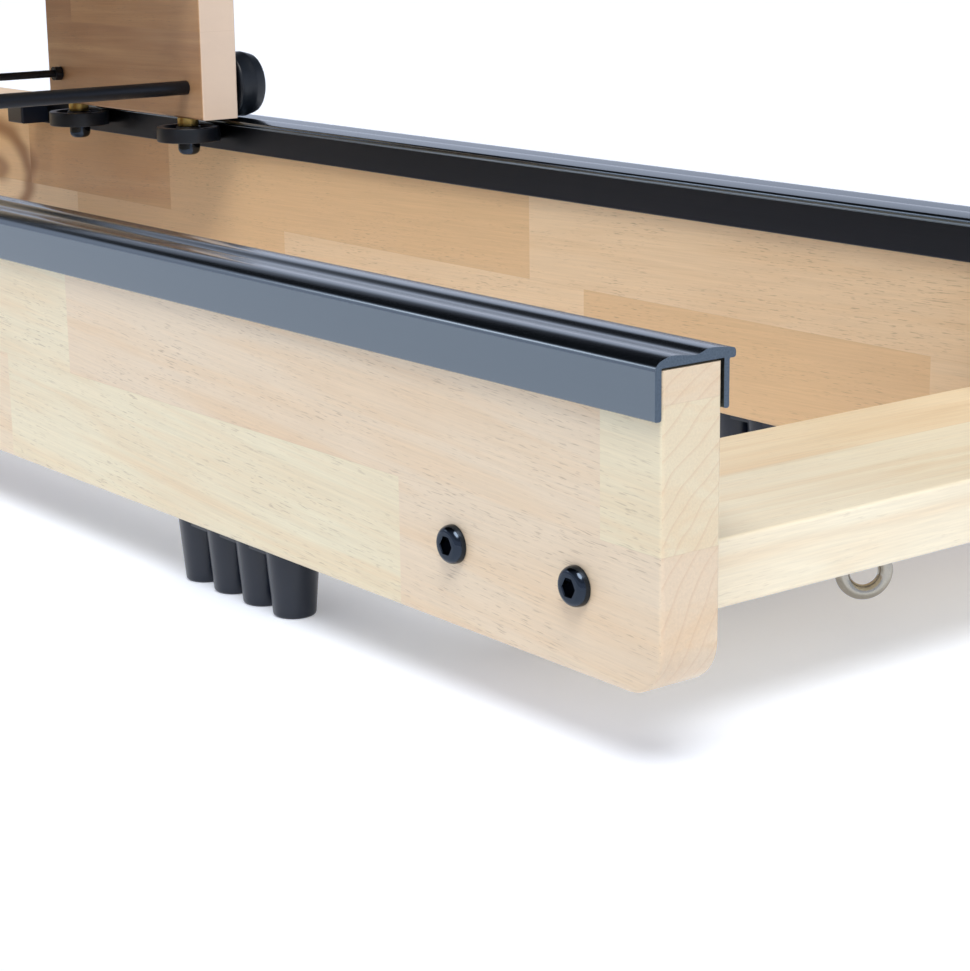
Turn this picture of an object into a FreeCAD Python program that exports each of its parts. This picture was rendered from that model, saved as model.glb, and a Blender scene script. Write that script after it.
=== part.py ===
# Water rowing machine, built as a parametric document
#
# X points to the rower's right, Y from the seat towards the water tank, Z up.
# The origin lies on the floor, midway along the rails and midway between them.
# All lengths are millimetres and all angles are degrees.
import FreeCAD, Part
import Sketcher
import math
import os

Vector = FreeCAD.Vector
os.makedirs("parts", exist_ok=True)
doc = FreeCAD.newDocument("water_rowing_machine")

# Driving dimensions: one spreadsheet row each
SIZES = {
    # Two wooden rails on edge, with a wooden board between them at the rear
    "rail_length": 2100,
    "rail_height": 120,
    "rail_thickness": 28,
    "rail_spacing": 310,
    "rail_corner": 18,
    "edge_ease": 1.6,
    "foot_height": 30.3,
    "cross_width": 120,
    "cross_thickness": 27,
    "rear_cross_recess": 22.5,
    "rear_cross_above_rail_bottom": 20,
    "middle_cross_before_footboard": 75,
    "middle_cross_above_rail_bottom": 75,
    "tank_board_length": 300,
    "tank_board_thickness": 18,
    # Extruded aluminium cap that forms the seat's track on each rail
    "cap_before_middle_board": 75,
    "cap_outer_leg": 17.7,
    "cap_inner_leg": 17.2,
    "cap_outer_wall": 3.4,
    "cap_inner_wall": 2.5,
    "cap_inner_gap": 0.9,
    "cap_lip": 3.0,
    "cap_lip_edge": 4.0,
    "cap_lip_thickness": 3.5,
    "cap_shoulder": 2.6,
    "cap_outer_crest": 5.0,
    "cap_outer_crest_in": 3.8,
    "cap_valley": 3.7,
    "cap_valley_in": 14.4,
    "cap_valley_width": 2.2,
    "cap_inner_crest": 5.25,
    "cap_inner_crest_in": 21.0,
    "cap_inner_crest_width": 3.4,
    "cap_rounding": 1.1,
    # Button head bolts that hold the boards between the rails
    "bolt_radius": 4,
    "bolt_length": 58,
    "bolt_hole_clearance": 0.25,
    "bolt_head_radius": 7.8,
    "bolt_head_height": 4.6,
    "bolt_head_rim": 1.0,
    "bolt_crown_radius": 4.2,
    "bolt_socket_flats": 6,
    "bolt_socket_depth": 3.0,
    "cross_bolt_spacing": 74,
    "tank_board_bolt_inset": 45,
    "post_bolt_spacing_across": 56,
    "post_bolt_low": 30,
    "post_bolt_high": 86,
    # Eye bolt under the rear board
    "eye_from_rear": 76,
    "eye_outer_radius": 12.5,
    "eye_wire_radius": 3.2,
    "eye_drop": 22.5,
    "eye_shank_radius": 3,
    "eye_shank_in_wood": 18,
    "eye_flange_radius": 6.5,
    "eye_flange_height": 1.6,
    # Rubber feet: four tapered studs in a row under each end of each rail
    "rear_foot_from_rear": 293,
    "front_foot_from_front": 250,
    "foot_pitch": 24.5,
    "foot_top_radius": 12.1,
    "foot_bottom_radius": 9.5,
    "foot_plate_thickness": 2.5,
    "foot_plate_inset": 1.5,
    # Four posts that carry the deck over the tank
    "post_thickness": 28,
    "post_bottom_above_rail_bottom": 10,
    "rear_post_reach": 131,
    "rear_post_width": 110,
    "front_post_reach": 129,
    "front_post_from_front": 15,
    "front_post_width": 100,
    "deck_over_drum": 11.8,
    "deck_thickness": 22,
    "deck_side_overhang": 10,
    "deck_rear_overhang": 15,
    "deck_front_overhang": 8,
    "deck_corner": 34,
    "deck_edge_round": 4,
    # Footboard with two sliding heel cups and two foot straps
    "foot_angle": 48,
    "footboard_thickness": 18,
    "footboard_run": 205,
    "footboard_side_gap": 0.6,
    "heel_from_rail": 73,
    "heel_width": 98,
    "heel_length": 168,
    "heel_start": 34,
    "heel_travel": 30,
    "heel_plate": 5,
    "heel_wall": 5,
    "heel_wall_height": 40,
    "heel_toe_height": 9,
    "heel_wall_run": 62,
    "heel_slot_width": 9,
    "heel_slot_end_gap": 2.5,
    "heel_slot_from_toe": 22,
    "heel_pin_radius": 4,
    "heel_pin_head_radius": 9,
    "heel_pin_head_height": 4,
    "heel_pin_in_board": 13,
    "slide_gap": 0.3,
    "strap_from_start": 232,
    "foot_strap_width": 38,
    "foot_strap_thickness": 2.2,
    "foot_strap_leg": 8,
    "foot_strap_clearance": 4,
    # Water tank: two clear bowls clamped on a seal
    "tank_wall": 4,
    "tank_body_radius": 218,
    "tank_bottom_taper": 42,
    "tank_top_taper": 36,
    "tank_flange_width": 17,
    "tank_flange_thickness": 7,
    "tank_lower_height": 94,
    "tank_upper_height": 92,
    "tank_bottom_round": 26,
    "tank_boss_radius": 18,
    "tank_boss_height": 9,
    "seal_from_body": 1.5,
    "seal_from_screws": 5,
    "seal_thickness": 3,
    "tank_screw_from_edge": 5.5,
    "tank_screw_radius": 2.4,
    "tank_screw_head_radius": 4.4,
    "tank_screw_head_height": 3.6,
    "tank_nut_height": 4,
    "screw_hole_clearance": 0.3,
    "plug_from_top_edge": 36,
    "plug_hole_radius": 17,
    "plug_clearance": 0.3,
    "plug_cap_radius": 23,
    "plug_cap_height": 7,
    "plug_stem_depth": 12,
    "plug_grip_height": 9,
    "plug_grip_thickness": 7,
    # Paddle, its shaft and the plain bearings
    "shaft_radius": 6,
    "running_clearance": 0.05,
    "bearing_wall": 4.5,
    "bearing_length": 9,
    "shaft_end_gap": 1,
    "paddle_wall_gap": 16,
    "paddle_height": 62,
    "paddle_floor_gap": 16,
    "paddle_blade_thickness": 3.5,
    "paddle_blade_bow": 26,
    "paddle_hub_radius": 17,
    "paddle_hub_height": 70,
    "deck_bearing_radius": 21,
    "deck_bearing_height": 8,
    # Spring can, strap drum and pull strap above the tank
    "can_radius": 50,
    "can_wall": 2.5,
    "can_height": 24,
    "arbor_radius": 13,
    "arbor_gap": 0.6,
    "clutch_radius": 10,
    "clutch_height": 22,
    "spring_thickness": 0.9,
    "spring_from_arbor": 0.4,
    "spring_width": 14,
    "spring_gap": 0.3,
    "drum_gap": 5,
    "drum_radius": 30,
    "drum_flange_rise": 15,
    "drum_flange": 2.5,
    "strap_width": 25,
    "strap_thickness": 1.6,
    "strap_side_gap": 0.6,
    "winding_pitch": 2.1,
    "roller_from_deck_edge": 52,
    "roller_radius": 11,
    "roller_pin_radius": 4,
    "bracket_plate": 3,
    "bracket_length": 40,
    "bracket_margin": 5,
    "bracket_wall_gap": 3,
    "bracket_open_side": 12,
    # Handle with two grips, held in two open cradles
    "handle_before_deck": 38,
    "handle_length": 470,
    "handle_radius": 13,
    "grip_radius": 17,
    "grip_from_cradle": 30,
    "grip_end": 3,
    "cradle_spacing": 92,
    "cradle_thickness": 12,
    "cradle_rim": 8,
    "cradle_foot_length": 66,
    "cradle_gap": 0.3,
    "clip_half_width": 12,
    "clip_wall": 5,
    "clip_cheek": 3,
    "clip_reach": 24,
    # Seat carriage on four grooved wheels and four guide rollers
    "carriage_from_cap_end": 192,
    "carriage_length": 216,
    "carriage_board": 28,
    "carriage_height": 110,
    "carriage_side_gap": 4,
    "carriage_above_crest": 1,
    "axle_from_board_end": 20,
    "guide_from_board_end": 31,
    "wheel_radius": 21.6,
    "wheel_rim_rise": 0.4,
    "wheel_inner_reach": 7,
    "wheel_outer_reach": 13.7,
    "wheel_outer_radius": 20.2,
    "wheel_outer_hub_proud": 0.5,
    "wheel_hub_radius": 8.5,
    "wheel_hub_proud": 2.2,
    "wheel_recess": 2.6,
    "wheel_recess_outer": 16.5,
    "wheel_edge": 1.4,
    "track_gap": 0.3,
    "rear_axle_radius": 4,
    "rear_axle_sleeve": 4.8,
    "front_axle_radius": 2.7,
    "axle_nut_radius": 6.5,
    "axle_nut_length": 7,
    "front_inner_nut_radius": 5.4,
    "front_inner_nut_length": 6.5,
    "guide_thickness": 10,
    "guide_below_crest": 5.1,
    "guide_bolt_radius": 4,
    "guide_bolt_in_board": 26,
    "guide_nut_radius": 7.5,
    "guide_nut_height": 9,
    "guide_nut_bevel": 2.5,
    "seat_board_side_overhang": 1,
    "seat_board_end_overhang": 5,
    "seat_board_thickness": 15,
    "seat_board_corner": 30,
    "cushion_end_overhang": 18,
    "cushion_side_overhang": 16,
    "cushion_height": 52,
    "cushion_corner": 58,
    "cushion_draw_in": 7,
    # Stops at both ends of the seat's travel
    "rear_stop_from_rear": 96,
    "rear_stop_length": 26,
    "stop_width": 22,
    "rear_stop_below_guide_top": 6,
    "front_stop_length": 24,
    "front_stop_height": 13,
    "front_stop_above_leg_end": 1.2,
    # Transport wheels at the front end
    "transport_from_front": 40,
    "transport_above_rail_bottom": 22,
    "transport_radius": 30,
    "transport_width": 22,
    "transport_bolt_radius": 5,
    "transport_head_radius": 9,
    "transport_head_height": 5,
    "transport_gap": 1.5,
    "transport_bolt_in_rail": 20,
    # Monitor on a hinge above the deck
    "monitor_from_deck_edge": 38,
    "monitor_hinge_height": 46,
    "monitor_tilt": 20,
    "monitor_half_width": 66,
    "monitor_below_hinge": 24,
    "monitor_above_hinge": 66,
    "monitor_depth": 20,
    "monitor_standoff": 11,
    "monitor_corner": 12,
    "screen_half_width": 50,
    "screen_low": 2,
    "screen_height": 52,
    "screen_depth": 1.2,
    "button_spacing": 44,
    "button_radius": 6,
    "button_below_hinge": 11,
    "button_travel": 1.0,
    "button_proud": 1.6,
    "button_depth": 6,
    "button_clearance": 0.2,
    "hinge_pin_radius": 3,
    "knuckle_radius": 7,
    "knuckle_half_length": 15,
    "ear_thickness": 5,
    "ear_gap": 0.3,
    "arm_base_length": 44,
    "arm_base_half_width": 26,
    "arm_base_thickness": 4,
    "arm_half_width": 9,
    "arm_half_depth": 5,
    # One overrun serves every cut
    "overrun": 1,
}
WIRE_SIDES = 8
FOOT_STUDS = 4
TANK_SCREWS = 12
PADDLE_BLADES = 4
SPRING_HALF_TURNS = 11
WINDING_HALF_TURNS = 8

sheet = doc.addObject("Spreadsheet::Sheet", "sizes")
for row, (alias, number) in enumerate(SIZES.items(), start=1):
    sheet.set("A%d" % row, alias)
    sheet.set("B%d" % row, str(number))
    sheet.setAlias("B%d" % row, alias)
doc.recompute()


class Size:
    """A length or an angle: its value now, and the expression over the sheet that keeps it."""

    def __init__(self, value, text):
        self.value = value
        self.text = text

    def __add__(self, other):
        other = as_size(other)
        return Size(self.value + other.value, "(%s + %s)" % (self.text, other.text))

    def __sub__(self, other):
        other = as_size(other)
        return Size(self.value - other.value, "(%s - %s)" % (self.text, other.text))

    def __mul__(self, other):
        other = as_size(other)
        return Size(self.value * other.value, "(%s * %s)" % (self.text, other.text))

    def __truediv__(self, other):
        other = as_size(other)
        return Size(self.value / other.value, "(%s / %s)" % (self.text, other.text))

    def __neg__(self):
        return Size(-self.value, "(0 - %s)" % self.text)

    __rmul__ = __mul__


def as_size(number):
    return number if isinstance(number, Size) else Size(float(number), repr(number))


def sin_of(angle):
    return Size(math.sin(math.radians(angle.value)), "sin(%s * 1deg)" % angle.text)


def cos_of(angle):
    return Size(math.cos(math.radians(angle.value)), "cos(%s * 1deg)" % angle.text)


class Sheet:
    """Reads a size of the spreadsheet by its alias."""

    def __getattr__(self, alias):
        return Size(float(sheet.get(alias)), "sizes." + alias)


s = Sheet()
PARTS = []
PLANES = {"X": "YZ_Plane", "Y": "XZ_Plane", "Z": "XY_Plane"}
SIDES = (("left", -1), ("right", 1))


def bind(thing, path, size):
    """Gives a property its expression."""
    thing.setExpression(path, size.text)


def new_body(name, exported=True):
    body = doc.addObject("PartDesign::Body", name)
    body.Label = name
    if exported:
        PARTS.append(body)
    return body


def new_group(name, bodies):
    """Alike pieces that share one file, each still a solid of its own."""
    group = doc.addObject("Part::Compound", name)
    group.Label = name
    group.Links = bodies
    PARTS.append(group)


def new_sketch(body, axis, start, centre=(0, 0)):
    """A sketch square to an axis, on the body's own plane, moved along the axis to start."""
    sketch = body.newObject("Sketcher::SketchObject", body.Name + "_sketch")
    origin = [f for f in body.Origin.OriginFeatures if f.Role == PLANES[axis]]
    sketch.AttachmentSupport = [(origin[0], "")]
    sketch.MapMode = "FlatFace"
    lift = -as_size(start) if axis == "Y" else as_size(start)
    for key, size in zip("xyz", (as_size(centre[0]), as_size(centre[1]), lift)):
        bind(sketch, "AttachmentOffset.Base." + key, size)
    return sketch


def hold_point(sketch, geometry, which, point):
    """Holds one point of the sketch at two sizes from its origin."""
    for kind, axis_line, size in (("DistanceX", -2, point[0]), ("DistanceY", -1, point[1])):
        if isinstance(size, Size):
            rule = Sketcher.Constraint(kind, -1, 1, geometry, which, size.value)
            bind(sketch, "Constraints[%d]" % sketch.addConstraint(rule), size)
        else:
            sketch.addConstraint(Sketcher.Constraint("PointOnObject", geometry, which, axis_line))


def number_of(size):
    return size.value if isinstance(size, Size) else float(size)


def draw_outline(sketch, points):
    """A closed outline of straight lines, with each corner held."""
    flat = [Vector(number_of(a), number_of(b), 0) for a, b in points]
    first = sketch.GeometryCount
    count = len(points)
    for i in range(count):
        sketch.addGeometry(Part.LineSegment(flat[i], flat[(i + 1) % count]), False)
    for i in range(count):
        sketch.addConstraint(Sketcher.Constraint("Coincident", first + i, 2, first + (i + 1) % count, 1))
    for i in range(count):
        hold_point(sketch, first + i, 1, points[i])


def draw_circle(sketch, centre, radius):
    """A circle held at its centre and radius."""
    middle = Vector(number_of(centre[0]), number_of(centre[1]), 0)
    shape = sketch.addGeometry(Part.Circle(middle, Vector(0, 0, 1), radius.value), False)
    hold_point(sketch, shape, 3, centre)
    rule = Sketcher.Constraint("Radius", shape, radius.value)
    bind(sketch, "Constraints[%d]" % sketch.addConstraint(rule), radius)


def draw_slot(sketch, centre, half_length, radius):
    """An upright slot with round ends, held at the centres of its two arcs."""
    x, y = centre
    high = Vector(number_of(x), number_of(y + half_length), 0)
    low = Vector(number_of(x), number_of(y - half_length), 0)
    up = Vector(0, 0, 1)
    first = sketch.GeometryCount
    side = Vector(radius.value, 0, 0)
    sketch.addGeometry(Part.ArcOfCircle(Part.Circle(high, up, radius.value), 0, math.pi), False)
    sketch.addGeometry(Part.LineSegment(high - side, low - side), False)
    sketch.addGeometry(Part.ArcOfCircle(Part.Circle(low, up, radius.value), math.pi, 2 * math.pi), False)
    sketch.addGeometry(Part.LineSegment(low + side, high + side), False)
    for i in range(4):
        sketch.addConstraint(Sketcher.Constraint("Tangent", first + i, 2, first + (i + 1) % 4, 1))
    hold_point(sketch, first, 3, (x, y + half_length))
    hold_point(sketch, first + 2, 3, (x, y - half_length))
    rule = Sketcher.Constraint("Radius", first, radius.value)
    bind(sketch, "Constraints[%d]" % sketch.addConstraint(rule), radius)


def pad(body, axis, start, length, draw, *details, centre=(0, 0)):
    """Material along the positive axis from start."""
    sketch = new_sketch(body, axis, start, centre)
    draw(sketch, *details)
    feature = body.newObject("PartDesign::Pad", body.Name + "_pad")
    feature.Profile = sketch
    feature.Reversed = axis == "Y"
    bind(feature, "Length", length)
    return feature


def cut(body, axis, start, length, draw, *details, centre=(0, 0)):
    """A pocket along the positive axis from start."""
    sketch = new_sketch(body, axis, start, centre)
    draw(sketch, *details)
    feature = body.newObject("PartDesign::Pocket", body.Name + "_pocket")
    feature.Profile = sketch
    feature.Reversed = axis != "Y"
    bind(feature, "Length", length)
    return feature


def turn(body, axis, centre, points):
    """A profile turned about an axis through centre. Its points are (along, radius) from centre."""
    x, y, z = centre
    if axis == "Z":
        sketch = new_sketch(body, "Y", y, (x, z))
        draw_outline(sketch, [(radius, along) for along, radius in points])
        line = "V_Axis"
    elif axis == "X":
        sketch = new_sketch(body, "Z", z, (x, y))
        draw_outline(sketch, points)
        line = "H_Axis"
    feature = body.newObject("PartDesign::Revolution", body.Name + "_turned")
    feature.Profile = sketch
    feature.ReferenceAxis = (sketch, [line])
    feature.Angle = 360
    return feature


def same(a, b):
    return abs(a - b) < 1e-4


def line_edges(body, axis, **places):
    """Names of the straight edges along an axis that pass through one of the given places."""
    doc.recompute()
    index = "XYZ".index(axis)
    found = []
    for number, edge in enumerate(body.Tip.Shape.Edges, start=1):
        if edge.Curve.TypeId != "Part::GeomLine":
            continue
        if not same(abs(edge.Curve.Direction[index]), 1):
            continue
        point = edge.CenterOfMass
        if all(any(same(getattr(point, key), number_of(v)) for v in values)
               for key, values in places.items()):
            found.append("Edge%d" % number)
    return found


def circle_edges(body, radii, z=None):
    """Names of the round edges with one of the given radii, at one of the given heights."""
    doc.recompute()
    found = []
    for number, edge in enumerate(body.Tip.Shape.Edges, start=1):
        if edge.Curve.TypeId != "Part::GeomCircle":
            continue
        if not any(same(edge.Curve.Radius, number_of(r)) for r in radii):
            continue
        if z is None or any(same(edge.Curve.Center.z, number_of(v)) for v in z):
            found.append("Edge%d" % number)
    return found


def round_over(body, radius, names):
    """Rounds the named edges of the body's last feature."""
    base = body.Tip
    feature = body.newObject("PartDesign::Fillet", body.Name + "_round")
    feature.Base = (base, names)
    bind(feature, "Radius", radius)
    doc.recompute()
    return feature


def polar_copies(body, feature, sketch_axis, count):
    """Copies of one feature round an axis of its sketch."""
    pattern = body.newObject("PartDesign::PolarPattern", body.Name + "_copies")
    pattern.Originals = [feature]
    pattern.Axis = sketch_axis
    pattern.Angle = 360
    pattern.Occurrences = count
    body.Tip = pattern
    return pattern


def box_points(low_a, high_a, low_b, high_b):
    return [(low_a, low_b), (high_a, low_b), (high_a, high_b), (low_a, high_b)]


def new_feature(name, shape):
    """A piece whose form neither sketches nor primitives give well."""
    part = doc.addObject("Part::Feature", name)
    part.Label = name
    part.Shape = shape
    PARTS.append(part)
    return part


def low_x(side, inner, thickness):
    """Lower X of a slab that stands at distance inner from the middle, on either side."""
    return inner if side > 0 else -(inner + thickness)


# Places that several pieces share
rear = -(s.rail_length / 2)
front = s.rail_length / 2
rail_inner = s.rail_spacing / 2
rail_outer = rail_inner + s.rail_thickness
rail_bottom = s.foot_height
rail_top = s.foot_height + s.rail_height
crest = rail_top + s.cap_inner_crest

# The front end fixes the tank and its posts. The footboard and the seat's track follow them.
tank_flange_radius = s.tank_body_radius + s.tank_flange_width
front_post_start = front - s.front_post_from_front - s.front_post_width
tank_y = front_post_start - tank_flange_radius - s.front_post_reach + rail_inner
rear_post_start = tank_y - tank_flange_radius - s.rear_post_reach + rail_inner - s.rear_post_width
deck_rear = rear_post_start - s.deck_rear_overhang
face_start_y = rear_post_start - s.footboard_run

rear_cross_start = rear + s.rear_cross_recess
rear_cross_low = rail_bottom + s.rear_cross_above_rail_bottom
middle_cross_start = face_start_y - s.middle_cross_before_footboard
cap_front = middle_cross_start - s.cap_before_middle_board
carriage_y = cap_front - s.carriage_from_cap_end
middle_cross_low = rail_bottom + s.middle_cross_above_rail_bottom
middle_cross_top = middle_cross_low + s.cross_thickness
tank_board_start = tank_y - s.tank_board_length / 2
tank_board_low = rail_top - s.tank_board_thickness
transport_y = front - s.transport_from_front
transport_z = rail_bottom + s.transport_above_rail_bottom

# Heights of the stack from the tank's floor up to the deck
tank_low = rail_top
tank_mid = tank_low + s.tank_lower_height
lid_low = tank_mid + s.seal_thickness
lid_top = lid_low + s.tank_upper_height
can_low = lid_top + s.tank_boss_height
can_top = can_low + s.can_height
drum_low = can_top + s.drum_gap
drum_inside = s.strap_width + s.strap_side_gap * 2
drum_height = drum_inside + s.drum_flange * 2
deck_low = drum_low + drum_height + s.deck_over_drum
deck_top = deck_low + s.deck_thickness


def pair_about(middle, spacing):
    return [middle - spacing / 2, middle + spacing / 2]


def cross_bolt_places():
    """(y, z) of each bolt that runs through a rail into the end of a board."""
    places = []
    for start, low in ((rear_cross_start, rear_cross_low), (middle_cross_start, middle_cross_low)):
        for y in pair_about(start + s.cross_width / 2, s.cross_bolt_spacing):
            places.append((y, low + s.cross_thickness / 2))
    for y in (tank_board_start + s.tank_board_bolt_inset,
              tank_board_start + s.tank_board_length - s.tank_board_bolt_inset):
        places.append((y, tank_board_low + s.tank_board_thickness / 2))
    return places


def post_bolt_places():
    """(y, z) of each bolt that runs through a rail into a post: a low one and a high one."""
    places = []
    for start, width in ((rear_post_start, s.rear_post_width), (front_post_start, s.front_post_width)):
        near, far = pair_about(start + width / 2, s.post_bolt_spacing_across)
        places.append((near, rail_bottom + s.post_bolt_low))
        places.append((far, rail_bottom + s.post_bolt_high))
    return places


bolt_hole_radius = s.bolt_radius + s.bolt_hole_clearance
bolt_hole_depth = s.bolt_length - s.rail_thickness + s.overrun


def drill(body, axis, start, length, places, radius):
    """One round hole at each place."""
    for place in places:
        cut(body, axis, start, length, draw_circle, place, radius)


# Rails
def make_rail(side_name, side):
    body = new_body(side_name + "_rail")
    low = low_x(side, rail_inner, s.rail_thickness)
    pad(body, "X", low, s.rail_thickness, draw_outline, box_points(rear, front, rail_bottom, rail_top))
    round_over(body, s.rail_corner, line_edges(body, "X", y=(rear, front), z=(rail_bottom,)))
    eased = line_edges(body, "Y", z=(rail_bottom, ))
    round_over(body, s.edge_ease, eased)
    places = cross_bolt_places() + post_bolt_places()
    drill(body, "X", low - s.overrun, s.rail_thickness + s.overrun * 2, places, bolt_hole_radius)
    depth = s.transport_bolt_in_rail + s.overrun
    hole_start = rail_outer - s.transport_bolt_in_rail if side > 0 else -rail_outer - s.overrun
    drill(body, "X", hole_start, depth, [(transport_y, transport_z)], s.transport_bolt_radius)


for side_name, side in SIDES:
    make_rail(side_name, side)


# Rail caps: an extrusion with two crests, a shallow valley and a lip towards the seat
def make_rail_cap(side_name, side):
    inner_face = s.rail_thickness + s.cap_inner_gap + s.cap_inner_wall
    lip_edge = inner_face + s.cap_lip
    lip_bottom = s.cap_lip_edge - s.cap_lip_thickness
    section = [
        (-s.cap_outer_wall, -s.cap_outer_leg),
        (-s.cap_outer_wall, s.cap_shoulder),
        (s.cap_outer_crest_in, s.cap_outer_crest),
        (s.cap_valley_in, s.cap_valley),
        (s.cap_valley_in + s.cap_valley_width, s.cap_valley),
        (s.cap_inner_crest_in, s.cap_inner_crest),
        (s.cap_inner_crest_in + s.cap_inner_crest_width, s.cap_inner_crest),
        (lip_edge, s.cap_lip_edge),
        (lip_edge, lip_bottom),
        (inner_face, lip_bottom),
        (inner_face, -s.cap_inner_leg),
        (inner_face - s.cap_inner_wall, -s.cap_inner_leg),
        (inner_face - s.cap_inner_wall, as_size(0)),
        (as_size(0), as_size(0)),
        (as_size(0), -s.cap_outer_leg),
    ]
    body = new_body(side_name + "_rail_cap")
    points = [((rail_outer - u) * side, rail_top + w) for u, w in section]
    pad(body, "Y", rear, cap_front - rear, draw_outline, points)
    shoulder = line_edges(body, "Y", x=((rail_outer + s.cap_outer_wall) * side,),
                          z=(rail_top + s.cap_shoulder,))
    round_over(body, s.cap_outer_wall * 0.7, shoulder)
    soft_x = [(rail_outer + s.cap_outer_wall) * side, rail_outer * side,
              (rail_outer - inner_face) * side, (rail_outer - inner_face + s.cap_inner_wall) * side]
    leg_ends = line_edges(body, "Y", x=soft_x,
                          z=(rail_top - s.cap_outer_leg, rail_top - s.cap_inner_leg))
    round_over(body, s.cap_rounding, leg_ends)
    lip_x = (rail_outer - lip_edge) * side
    round_over(body, s.cap_rounding, line_edges(body, "Y", x=(lip_x,)))


for side_name, side in SIDES:
    make_rail_cap(side_name, side)


# Boards between the rails
def make_cross_board(name, start, width, low, thickness, bolts):
    body = new_body(name)
    pad(body, "X", -rail_inner, s.rail_spacing, draw_outline,
        box_points(start, start + width, low, low + thickness))
    round_over(body, s.edge_ease, line_edges(body, "X"))
    for side in (-1, 1):
        begin = rail_inner - bolt_hole_depth if side > 0 else -rail_inner - s.overrun
        drill(body, "X", begin, bolt_hole_depth + s.overrun, bolts, bolt_hole_radius)
    return body


board_bolts = cross_bolt_places()
rear_cross = make_cross_board("rear_cross_board", rear_cross_start, s.cross_width,
                              rear_cross_low, s.cross_thickness, board_bolts[0:2])
drill(rear_cross, "Z", rear_cross_low - s.overrun, s.eye_shank_in_wood + s.overrun,
      [(0, rear + s.eye_from_rear)], s.eye_shank_radius + s.running_clearance)
make_cross_board("middle_cross_board", middle_cross_start, s.cross_width,
                 middle_cross_low, s.cross_thickness, board_bolts[2:4])
make_cross_board("tank_base_board", tank_board_start, s.tank_board_length,
                 tank_board_low, s.tank_board_thickness, board_bolts[4:6])


# Posts and deck
def post_inner():
    return rail_inner - s.post_thickness


def make_post(name, side, start, width, bolts):
    body = new_body(name)
    low = low_x(side, post_inner(), s.post_thickness)
    bottom = rail_bottom + s.post_bottom_above_rail_bottom
    pad(body, "X", low, s.post_thickness, draw_outline,
        box_points(start, start + width, bottom, deck_low))
    round_over(body, s.edge_ease, line_edges(body, "Z"))
    depth = bolt_hole_depth
    begin = rail_inner - depth if side > 0 else -rail_inner - s.overrun
    drill(body, "X", begin, depth + s.overrun, bolts, bolt_hole_radius)


post_bolts = post_bolt_places()
for side_name, side in SIDES:
    make_post(side_name + "_rear_post", side, rear_post_start, s.rear_post_width, post_bolts[0:2])
    make_post(side_name + "_front_post", side, front_post_start, s.front_post_width, post_bolts[2:4])

deck = new_body("top_deck")
deck_front = front_post_start + s.front_post_width + s.deck_front_overhang
deck_half_width = rail_inner + s.deck_side_overhang
pad(deck, "Z", deck_low, s.deck_thickness, draw_outline,
    box_points(-deck_half_width, deck_half_width, deck_rear, deck_front))
round_over(deck, s.deck_corner, line_edges(deck, "Z"))
round_over(deck, s.deck_edge_round, circle_edges(deck, (s.deck_corner,), z=(deck_top,)))


# Bolts: button heads with a hexagon socket
def button_bolt():
    """One bolt along +X, its head's seat at the origin and its shank towards +X."""
    rim = s.bolt_head_rim.value
    head = s.bolt_head_radius.value
    top = s.bolt_head_height.value
    crown = s.bolt_crown_radius.value
    shoulder = Vector(-(rim + (top - rim) * 0.72), head * 0.82, 0)
    edges = [
        Part.LineSegment(Vector(0, 0, 0), Vector(0, head, 0)).toShape(),
        Part.LineSegment(Vector(0, head, 0), Vector(-rim, head, 0)).toShape(),
        Part.LineSegment(Vector(-rim, head, 0), shoulder).toShape(),
        Part.LineSegment(shoulder, Vector(-top, crown, 0)).toShape(),
        Part.LineSegment(Vector(-top, crown, 0), Vector(-top, 0, 0)).toShape(),
        Part.LineSegment(Vector(-top, 0, 0), Vector(0, 0, 0)).toShape(),
    ]
    solid = Part.Face(Part.Wire(edges)).revolve(Vector(0, 0, 0), Vector(1, 0, 0), 360)
    corner = s.bolt_socket_flats.value / 2 / math.cos(math.pi / 6)
    ring = [Vector(-top - s.overrun.value, corner * math.cos(i * math.pi / 3),
                   corner * math.sin(i * math.pi / 3)) for i in range(7)]
    depth = s.bolt_socket_depth.value + s.overrun.value
    socket = Part.Face(Part.makePolygon(ring)).extrude(Vector(depth, 0, 0))
    shank = Part.makeCylinder(s.bolt_radius.value, s.bolt_length.value, Vector(0, 0, 0), Vector(1, 0, 0))
    return solid.cut(socket).fuse(shank).removeSplitter()


def transport_bolt(side):
    """The bolt that a transport wheel turns on, with a spacer against the rail."""
    direction = Vector(side, 0, 0)
    start = Vector((rail_outer.value - s.transport_bolt_in_rail.value) * side,
                   transport_y.value, transport_z.value)
    reach = s.transport_bolt_in_rail.value + s.transport_gap.value + s.transport_width.value
    rod = Part.makeCylinder(s.transport_bolt_radius.value, reach + s.slide_gap.value, start, direction)
    seat = start + direction * (reach + s.slide_gap.value)
    head = Part.makeCylinder(s.transport_head_radius.value, s.transport_head_height.value, seat, direction)
    spacer_start = start + direction * s.transport_bolt_in_rail.value
    spacer = Part.makeCylinder(s.transport_head_radius.value,
                               s.transport_gap.value - s.slide_gap.value, spacer_start, direction)
    return rod.fuse([head, spacer]).removeSplitter()


def make_frame_bolts():
    """Every bolt of the frame, head outside, on both rails."""
    bolts = [transport_bolt(side) for side in (-1, 1)]
    for y, z in cross_bolt_places() + post_bolt_places():
        for side in (-1, 1):
            bolt = button_bolt()
            if side > 0:
                bolt.rotate(Vector(0, 0, 0), Vector(0, 0, 1), 180)
            bolt.translate(Vector(rail_outer.value * side, y.value, z.value))
            bolts.append(bolt)
    new_feature("frame_bolts", Part.makeCompound(bolts))


make_frame_bolts()


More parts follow.
